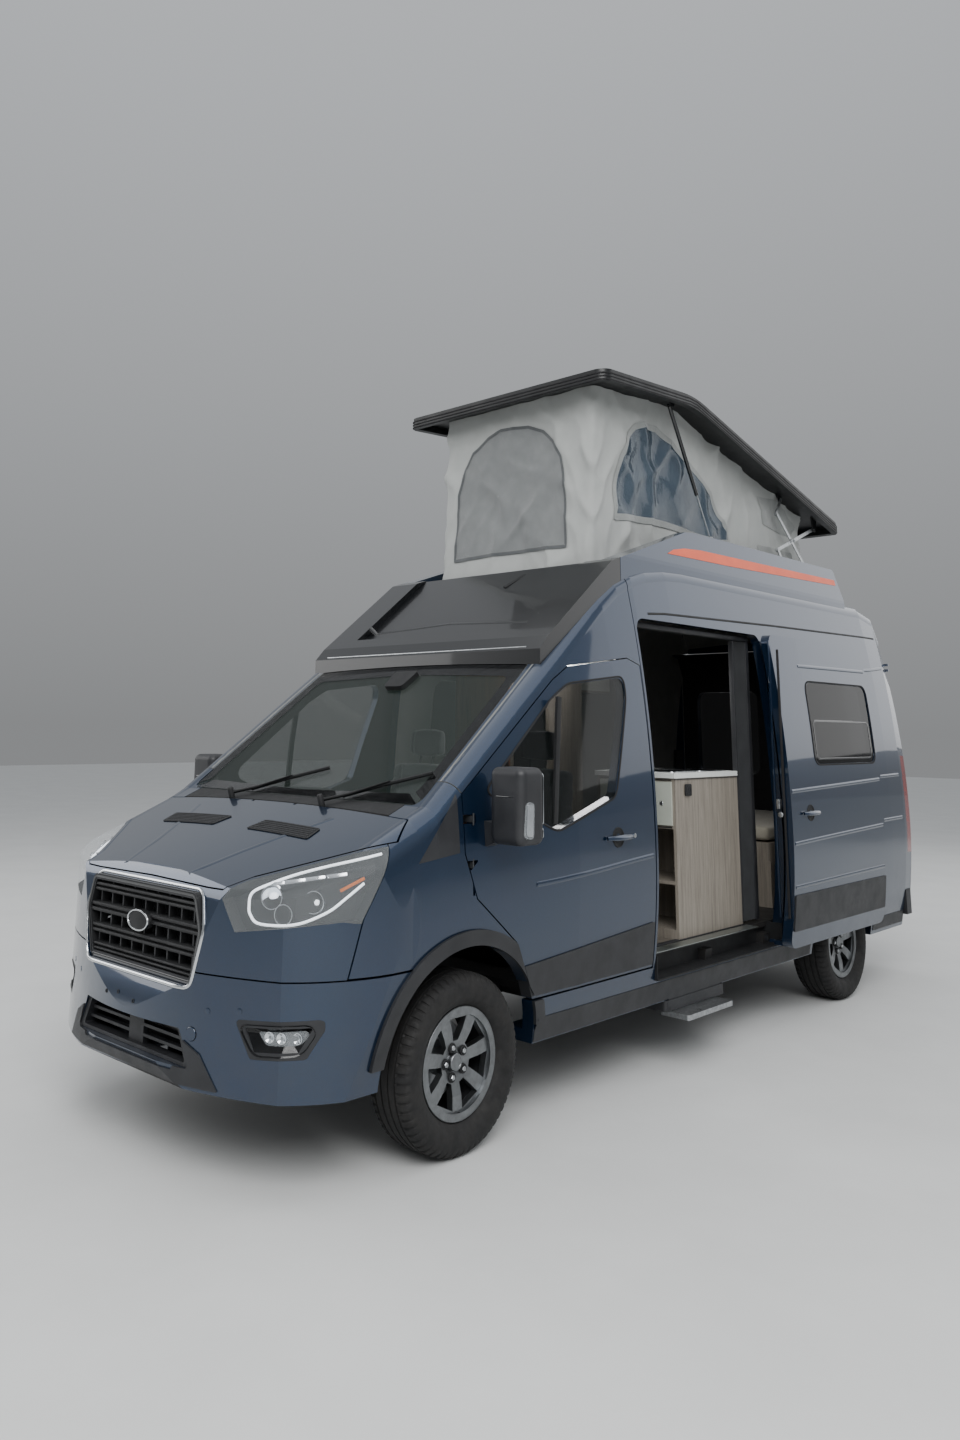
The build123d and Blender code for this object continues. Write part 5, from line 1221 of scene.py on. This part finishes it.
# A dark strip laid along the pressed groove above the side openings: its colour is painted shade in the groove.
groove = [(1130, 2270), (1240, 2318), (1378, 2344), (1560, 2366), (1728, 2379), (3066, 2414), (4484, 2440),
    (4760, 2444)]
both("roof_rail_groove_painted_shade", [b_run(SIDE, "L", [p for p in groove if p[0] > 1420],
    [(0.4, -7), (1.6, -6), (1.6, 6), (0.4, 7)], False, 80)], dark_plastic, sharp=60)

SILL = tree_of("side_left body_trims")
sills = [b_patch(SILL, "L", [(470, 300), (3250, 300), (3250, 452), (470, 452)], 1.2, 2, 60),
         b_patch(SILL, "L", [(4240, 330), (4790, 330), (4790, 452), (4240, 452)], 1.2, 2, 60)]
both("sill_covers", sills, black_plastic)
latch = [b_box(1064, 1086, 2690, 2724, 1270, 1326, 3), b_lathe([(0, 0.0), (0, 17), (5, 17), (7, 14), (7, 0.0)],
    P(1078, 2716, 1235), (0, -1, 0), 24)]
merged("sliding_latch", latch, zinc)
merged("sliding_edge_channel", [b_box(1040, 1052, 2712, 2722, 640, 2290, 2)], body_paint)
merged("sliding_edge_seal", [b_box(1098, 1112, 2708, 2720, 640, 2230, 3)], rubber)

mirror_shape = rect(1122, 1318, 1222, 1540, 20, 5)
low_shape = rect(1122, 1262, 1222, 1308, 14, 5)
both("mirror_glass", [b_prism(mirror_shape, front, 223.5, 228, 1), b_prism(low_shape, front, 222, 226, 1)], mirror_face,
    FRONT_DOORS)
MIRROR = tree_of("mirror_left")
lamp_side = rounded([(88, 1280), (128, 1276), (132, 1408), (96, 1412)], 12, 4)
both("mirror_indicator", [b_patch(MIRROR, "L", lamp_side, 1.6, 4, 14)], reflector, FRONT_DOORS, 50)
both("mirror_indicator_lens", [b_patch(MIRROR, "L", grown(lamp_side, 9), 0.9, 3, 14)], lens_glass, FRONT_DOORS, 50)
both("mirror_seam", [b_run(MIRROR, "F", [(1062, 1440), (1225, 1440)], [(0, -2), (1, 0), (0, 2)], False, 40)],
     gloss_black, FRONT_DOORS, 50)


# Roof: stripe, cap lines, lid edge and pivots
FAIR = tree_of("roof_fairings")
CAP = tree_of("roof_cap")
stripe = [(1856, 2744), (1960, 2788), (2090, 2812), (2283, 2826), (4240, 2852), (4240, 2790), (2763, 2768),
    (2283, 2756)]
both("side_stripe", [b_patch(FAIR, "L", stripe, 0.8, 1.4, 60)], stripe_paint)
merged("cap_creases", creases(CAP, "T", [[(-640, 889), (-10, 934), (671, 896)]], 60), roof_paint, sharp=80)
merged("cap_lower_line", [b_run(CAP, "F", [(-770, 2134), (770, 2134)], [(0, -3.5), (2.5, 0), (0, 3.5)], False, 60)],
    zinc, sharp=60)
merged("cap_fin", [b_bar(P(160, 1215, 2540), P(232, 1340, 2628), 30, 12, (0, -0.62, 0.78), 3)], dark_plastic)


def lid_top(d):
    """Height of the raised lid's top; its front part falls towards the front, the rest to the rear."""
    return 3785 + (d - 1350) * 65 / 1010 if d < 2360 else 3850 - (d - 2360) * 540 / 2130


lid_line = densify(rect(-800, 1350, 800, 4490, 75, 6), 90)
edge_runs = []
for drop, rise in ((24, 5.5), (44, 4), (63, 5)):
    spots = []
    for i, (x, d) in enumerate(lid_line):
        a, b = Vector(lid_line[i - 1]), Vector(lid_line[(i + 1) % len(lid_line)])
        run = b - a
        spots.append((P(x, d, lid_top(d) - drop), Vector((run.y, -run.x, 0)).normalized()))
    edge_runs.append(sweep(spots, [(-3, -rise), (2.4, -rise * 0.6), (2.4, rise * 0.6), (-3, rise)], True))
merged("lid_edge_ribs", edge_runs, rubber, "roof_lid")
LID_TOP = tree_of("lid")
ribs = [b_run(LID_TOP, "T", [(x, d0), (x, d1)], [(-1, -26), (5, -18), (5, 18), (-1, 26)], False, 120)
        for d0, d1 in ((1500, 2345), (2375, 4360)) for x in (-420, 0, 420)]
merged("lid_top_ribs", ribs, lid_shell, "roof_lid", sharp=60)
for name, body, x, d, z in (("arm_cross", "arm_upper", 696, 3903, 3123), ("arm_foot", "body", 735, 4365, 2760)):
    bolts = [b_lathe([(-2, 0.0), (-2, 13), (3, 13), (3, 9), (8, 8), (9, 6), (9, 0.0)], P(x, d, z), (1, 0, 0), 6)]
    both(name + "_bolts", bolts, zinc, (body, body), 30)
straps = []
for d in (1900, 2900, 3900):
    for dx in (-1, 1):
        low, high = over_roof(560, d), under_lid(560, d)
        straps.append(b_bar(P(560, d + dx * 14, high - 4), P(560, d + dx * 14, high - 60), 3, 20, (1, 0, 0)))
both("tent_tie_tabs", straps, zip_tape, ("roof_lid", "roof_lid"))


# Cab and living space
FLOOR = 588.5  # height of the floor's top


def pad(name, outline, middle, half, body, material, crown=10, voxel=11, seams=(), bevel=22):
    """Stuffed form over a side outline: remeshed, smoothed, crowned and with sewn channels."""
    bm = b_prism(outline, side, middle - half, middle + half, bevel, 3)
    mesh = bpy.data.meshes.new(name)
    bmesh.ops.recalc_face_normals(bm, faces=bm.faces)
    bm.to_mesh(mesh)
    bm.free()
    piece = placed(name, mesh)
    remesh = piece.modifiers.new("remesh", "REMESH")
    remesh.mode = "VOXEL"
    remesh.voxel_size = voxel / 1000
    soften = piece.modifiers.new("soften", "SMOOTH")
    soften.factor = 0.5
    soften.iterations = 8
    graph = bpy.context.evaluated_depsgraph_get()
    soft = bpy.data.meshes.new_from_object(piece.evaluated_get(graph))
    piece.modifiers.clear()
    piece.data = soft
    bpy.data.meshes.remove(mesh)
    ds, zs = [p[0] for p in outline], [p[1] for p in outline]
    normals = [v.normal.copy() for v in soft.vertices]
    for vert, normal in zip(soft.vertices, normals):
        x = (vert.co.x * 1000 - middle) / half
        d, z = (vert.co.y - AXLE_Y) * 1000, vert.co.z * 1000
        v = max((d - min(ds)) / (max(ds) - min(ds)), 0), max((z - min(zs)) / (max(zs) - min(zs)), 0)
        out = -crown * min(1.0, (abs(x) ** 3 + 0.35 * max(abs(2 * v[0] - 1), 0) ** 4) / 1.35)
        for kind, place, width, depth in seams:
            run = {"x": abs(x) * half, "d": d, "z": z, "X": x * half + middle}[kind]
            out -= depth * math.exp(-((run - place) / width) ** 2)
        out += 0.9 * wave(d / 34, z / 41 + x * 3, middle / 99)
        vert.co += normal * (out / 1000)
    for face in soft.polygons:
        face.use_smooth = True
    soft.update()
    piece.data.materials.clear()
    dress(piece, material, body, 0)
    return piece


seat_hard = []
for tag, mid in (("left", 430), ("right", -430)):
    base = pad("seat_cushion_" + tag, [(588, 852), (582, 930), (600, 985), (700, 992), (1020, 962), (1080, 930),
        (1090, 856)], mid, 236, "body", seat_cloth, 12, 12, (("x", 158, 10, 9), ("d", 800, 9, 6), ("d", 640, 10, 7)))
    pad("seat_back_" + tag, [(1012, 940), (1000, 1010), (1060, 1250), (1118, 1500), (1150, 1520), (1228, 1505),
        (1205, 1200), (1160, 940)], mid, 234, "body", seat_cloth, 12, 12, (("x", 152, 10, 9), ("z", 1150, 9, 6),
        ("z", 1330, 9, 6), ("z", 1430, 9, 6)))
    pad("seat_head_" + tag, [(1155, 1560), (1150, 1640), (1168, 1712), (1200, 1722), (1240, 1700), (1240, 1560)],
        mid, 128, "body", seat_cloth, 10, 10, (("x", 92, 8, 6),))
    if mid > 0:
        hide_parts("cab_seats")
    seat_hard.append(b_box(mid - 205, mid + 205, 650, 1070, 590, 850, 18))
    for dx in (-52, 52):
        seat_hard.append(b_tube([P(mid + dx, 1176, 1490), P(mid + dx, 1196, 1600)], 7, 10))
merged("seat_plinths", seat_hard, dark_plastic)

bed = pad("bed_mattress", [(3312, 1004), (3312, 1106), (4768, 1106), (4768, 1004)], 0, 688, "body", mattress_cloth, 6,
    18, (("d", 3800, 14, 12), ("d", 4290, 14, 12), ("X", 0, 12, 6)), 26)
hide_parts("mattress")

folds = 23
verts, faces = [], []
levels = 15
for i in range(folds * 2 + 1):
    for j in range(levels):
        z = 606 + 1680 * j / (levels - 1)
        wob = 1.6 * wave(i / 2.1, z / 210, 3)
        verts.append(P((839 if i % 2 else 866) + wob * 0.6, 2604 + i * 144 / (folds * 2) + wob, z))
for i in range(folds * 2):
    for j in range(levels - 1):
        a = i * levels + j
        faces.append((a, a + levels, a + levels + 1, a + 1))
pleats = obj("flyscreen_pleats", verts, faces, pleat_cloth, sharp=0)
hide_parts("flyscreen")
rails = [b_box(832, 872, 2752, 2790, 600, 2290, 3), b_box(832, 872, 1500, 2790, 2291, 2318, 3),
         b_box(836, 868, 2594, 2603, 602, 2289, 2), b_box(834, 870, 1500, 2600, FLOOR, 594, 1)]
rail = merged("flyscreen_rails", rails, black_plastic)

for name, material, boxes in (("sill_strip", sill_metal, [(884, 962, 1440, 2596, FLOOR, 592.5, 1)]),
        ("step_well", dark_plastic, [(873, 877, 1434, 2822, 474, 588), (873, 1004, 1434, 2822, 468, 474),
        (873, 1000, 1434, 1438, 474, 588), (873, 1000, 2818, 2822, 474, 588)]),
        ("cabin_floor_cover", carpet, [(-860, 830, 1300, 1864, FLOOR, 591.5, 1),
        (-370, 310, 1864, 3290, FLOOR, 591.5, 1)]), ("locker_gaps", dark_plastic,
        [(356, 846, 1862, 1866, 1446, 1452), (356, 846, 1862, 1866, 1186, 1192)]),
        ("kitchen_seams", dark_plastic, [(866, 867.2, 1868, 2598, 1452, 1456)]),
        ("wardrobe_edge", warm_wood, [(-392, -372, 1888, 1902, 600, 2300, 3), (-850, -392, 1888, 1899, 600, 2100, 3)]),
        ("cupboard_doors", locker_white, [(-519, -515, 2708, 2972, 2012, 2500, 1),
        (-519, -515, 2980, 3242, 2012, 2500, 1)])):
    merged(name, [b_box(*box) for box in boxes], material)
knob = [b_lathe([(0, 0.0), (0, 12), (3, 12), (5, 10), (5, 0.0)], P(780, 1865.5, 1320), (0, -1, 0), 24)]
merged("locker_knob", knob, zinc)
plate = rect(1976, 1360, 2044, 1426, 8, 3)
merged("socket_plate", [b_prism(plate, side, 865.5, 872, 1.5)], dark_plastic)
merged("socket_face", [b_lathe([(0, 0.0), (0, 22), (1.4, 22), (1.4, 19), (-2, 18), (-2, 0.0)], P(871.5, 2010, 1393),
    (1, 0, 0), 28)], gloss_black)
tap = [b_lathe([(0, 0.0), (0, 26), (6, 26), (10, 16), (60, 14), (62, 0.0)], P(430, 2120, 1488), (0, 0, 1), 28),
    b_tube([P(430, 2120, 1540), P(430, 2120, 1700), P(446, 2118, 1745), P(490, 2112, 1768), P(545, 2105, 1758),
    P(566, 2102, 1715)], 9, 12), b_bar(P(412, 2120, 1530), P(366, 2120, 1560), 9, 9, (0, 1, 0), 2)]
merged("kitchen_tap", tap, gloss_black, sharp=50)
covers = [rect(420, d0, 800, d1, 26, 4) for d0, d1 in ((1960, 2230), (2270, 2560))]
hob = rect(420, 2270, 800, 2560, 20, 4)
merged("sink_and_hob_covers", [b_prism(c, plan, 1488, 1493, 1) for c in (covers[0], hob)], gloss_black)
merged("sink_and_hob_rims", [
    b_rim(grown(c, 4), lambda x, d: P(x, d, 1490), (0, 0, 1), [(-2, -3), (3, -2), (3, 2), (-2, 3)])
    for c in covers], zinc)


def on_wall(u, v, w):
    """Outline in (behind, up) on a wall that faces the aisle from the right."""
    return P(-380 + w, u, v)


merged("wardrobe_doors", [b_prism(rect(1912, 640, 2300, 1380, 6, 2), on_wall, 0, 4, 1),
    b_prism(rect(2310, 640, 2690, 2240, 6, 2), on_wall, 0, 4, 1)], grey_wood)
# A flat dark plate stands for the wardrobe's recess: its colour is painted shade in the recess.
hole = rect(1960, 1440, 2270, 2160, 60, 6)
merged("wardrobe_recess", [b_prism(hole, on_wall, 0, 2.5)], dark_plastic)
hole_rim = b_rim(grown(hole, 5), lambda u, v: on_wall(u, v, 1), (1, 0, 0), [(-1, -6), (5, -5), (5, 5), (-1, 6)])
merged("wardrobe_recess_rim", [hole_rim], black_plastic)
rings = [b_lathe([(0, 0.0), (0, 26), (10, 26), (12, 20), (9, 18), (9, 0.0)], P(-376, d, 2215), (1, 0, 0), 28)
          for d in (1990, 2240)]
merged("cabin_spot_rings", rings, zinc)
merged("cabin_spots", [b_lathe([(0, 0.0), (0, 15), (3, 13), (4, 0.0)], P(-366, d, 2215), (1, 0, 0), 24)
    for d in (1990, 2240)], lamp_white)


def on_dash(start):
    """Places an outline in (x, up) on the dashboard's leaning screen, whose top is start behind the axle."""
    return lambda u, v, w: P(u, start + w + (1395 - v) * 0.12, v)


dash = [b_prism(rect(-150, 1215, 150, 1395, 14, 4), on_dash(350), 0, 16, 3),
    b_prism([(-590, 1320), (-565, 1400), (-300, 1400), (-270, 1320)], front, 150, 330, 12)]
merged("dash_screen_and_hood", dash, dark_plastic)
merged("dash_screen_glass", [b_prism(rect(-138, 1226, 138, 1384, 10, 4), on_dash(367.5), 0, 1)], gloss_black)
vents = []
DASH = tree_of("dashboard")
for x in (-790, -210, 210, 790):
    spot, _ = hit(DASH, "B", x, 1180)
    d = (spot.y - AXLE_Y) * 1000
    for k in range(5):
        z = 1150 + k * 14
        vents.append(b_bar(P(x - 52, d + 3, z), P(x + 52, d + 3, z), 4, 9, (0, 1, 0)))
    ring = rect(x - 60, 1140, x + 60, 1218, 12, 3)
    vents.append(b_rim(ring, lambda u, v: P(u, d, v), (0, 1, 0), [(-2, -5), (5, -3), (5, 3), (-2, 5)]))
merged("dash_vents", vents, gloss_black)
axis = Vector((0, math.cos(math.radians(24)), math.sin(math.radians(24))))
merged("steering_pad", [b_lathe([(-6, 0.0), (-6, 66), (4, 74), (16, 68), (24, 50), (28, 0.0)], P(-430, 470, 1205), axis,
    40)], black_plastic, "steering", 50)


# Rear: lamps, doors, plate recess and bumper
REAR = tree_of("rear_door_left")
TAIL = tree_of("tail_lamps")
RBUMP = tree_of("rear_bumper")
REAR_TOP = tree_of("roof_shell side_left side_right")
rear_window = [(150, 1380), (150, 2060), (720, 2060), (720, 1380)]
both("rear_window_seal", [b_run(REAR, "B", grown(rounded(rear_window, 60, 6), 6), SEAL, True, 40)], rubber, REAR_DOORS)
both("rear_door_creases", creases(REAR, "B", [[(20, z), (840, z)] for z in (1240, 720, 2200)]), body_paint, REAR_DOORS,
    80)
for name, material, slot, z0, z1 in (("amber", lens_amber, "lamp_red", 1130, 1210),
        ("white", lamp_white, None, 1030, 1112)):
    corners = rect(884, z0, 992, z1, 10, 3)
    both("tail_lamp_" + name, [b_patch(TAIL, "B", corners, 1, 2.5, 20)], material, sharp=50)
lines = [b_run(TAIL, "B", [(876, z), (1000, z)], [(0.4, -4), (1.8, 0), (0.4, 4)], False, 30)
         for z in (1020, 1121, 1220, 1390)]
both("tail_lamp_lines", lines, gloss_black, sharp=50)
merged("rear_handle", [b_box(24, 62, 4926, 4946, 1060, 1200, 8), b_box(16, 70, 4924, 4929, 1040, 1220, 2)],
    dark_plastic, "door_rear_left")
recess = b_rim(rect(110, 880, 690, 1020, 18, 4), lambda u, v: P(u, 4925, v), (0, 1, 0),
    [(-1, -10), (9, -7), (11, 0), (9, 7), (-1, 10)], 50)
merged("rear_plate_recess", [recess], body_paint, "door_rear_left")
merged("rear_plate_blank", [b_prism(rect(140, 896, 660, 1006, 8, 3), front, 4925.5, 4929, 1)],
       plate_white, "door_rear_left")
hinges = [b_box(850, 872, 4912, 4936, z - 45, z + 45, 6) for z in (860, 1700, 2240)]
both("rear_hinge_covers", hinges, body_paint, REAR_DOORS)
brake_lamp = rect(-160, 2420, 160, 2448, 8, 3)
merged("high_brake_lamp", [b_patch(REAR_TOP, "B", brake_lamp, 4, 8, 40)], lens_red)
treads = [b_bar(P(x, 4830, 595), P(x, 4940, 595), 6, 3, (0, 0, 1)) for x in range(-600, 601, 40)]
merged("rear_step_ribs", treads, dark_plastic)
rear_sensors = [b_lathe([(-3, 0.0), (-3, 12), (1.4, 12), (2, 9), (2, 0.0)], hit(RBUMP, "B", x, 520)[0], (0, 1, 0), 24)
    for x in (250, 700)]
both("rear_sensors", rear_sensors, dark_plastic, sharp=30)
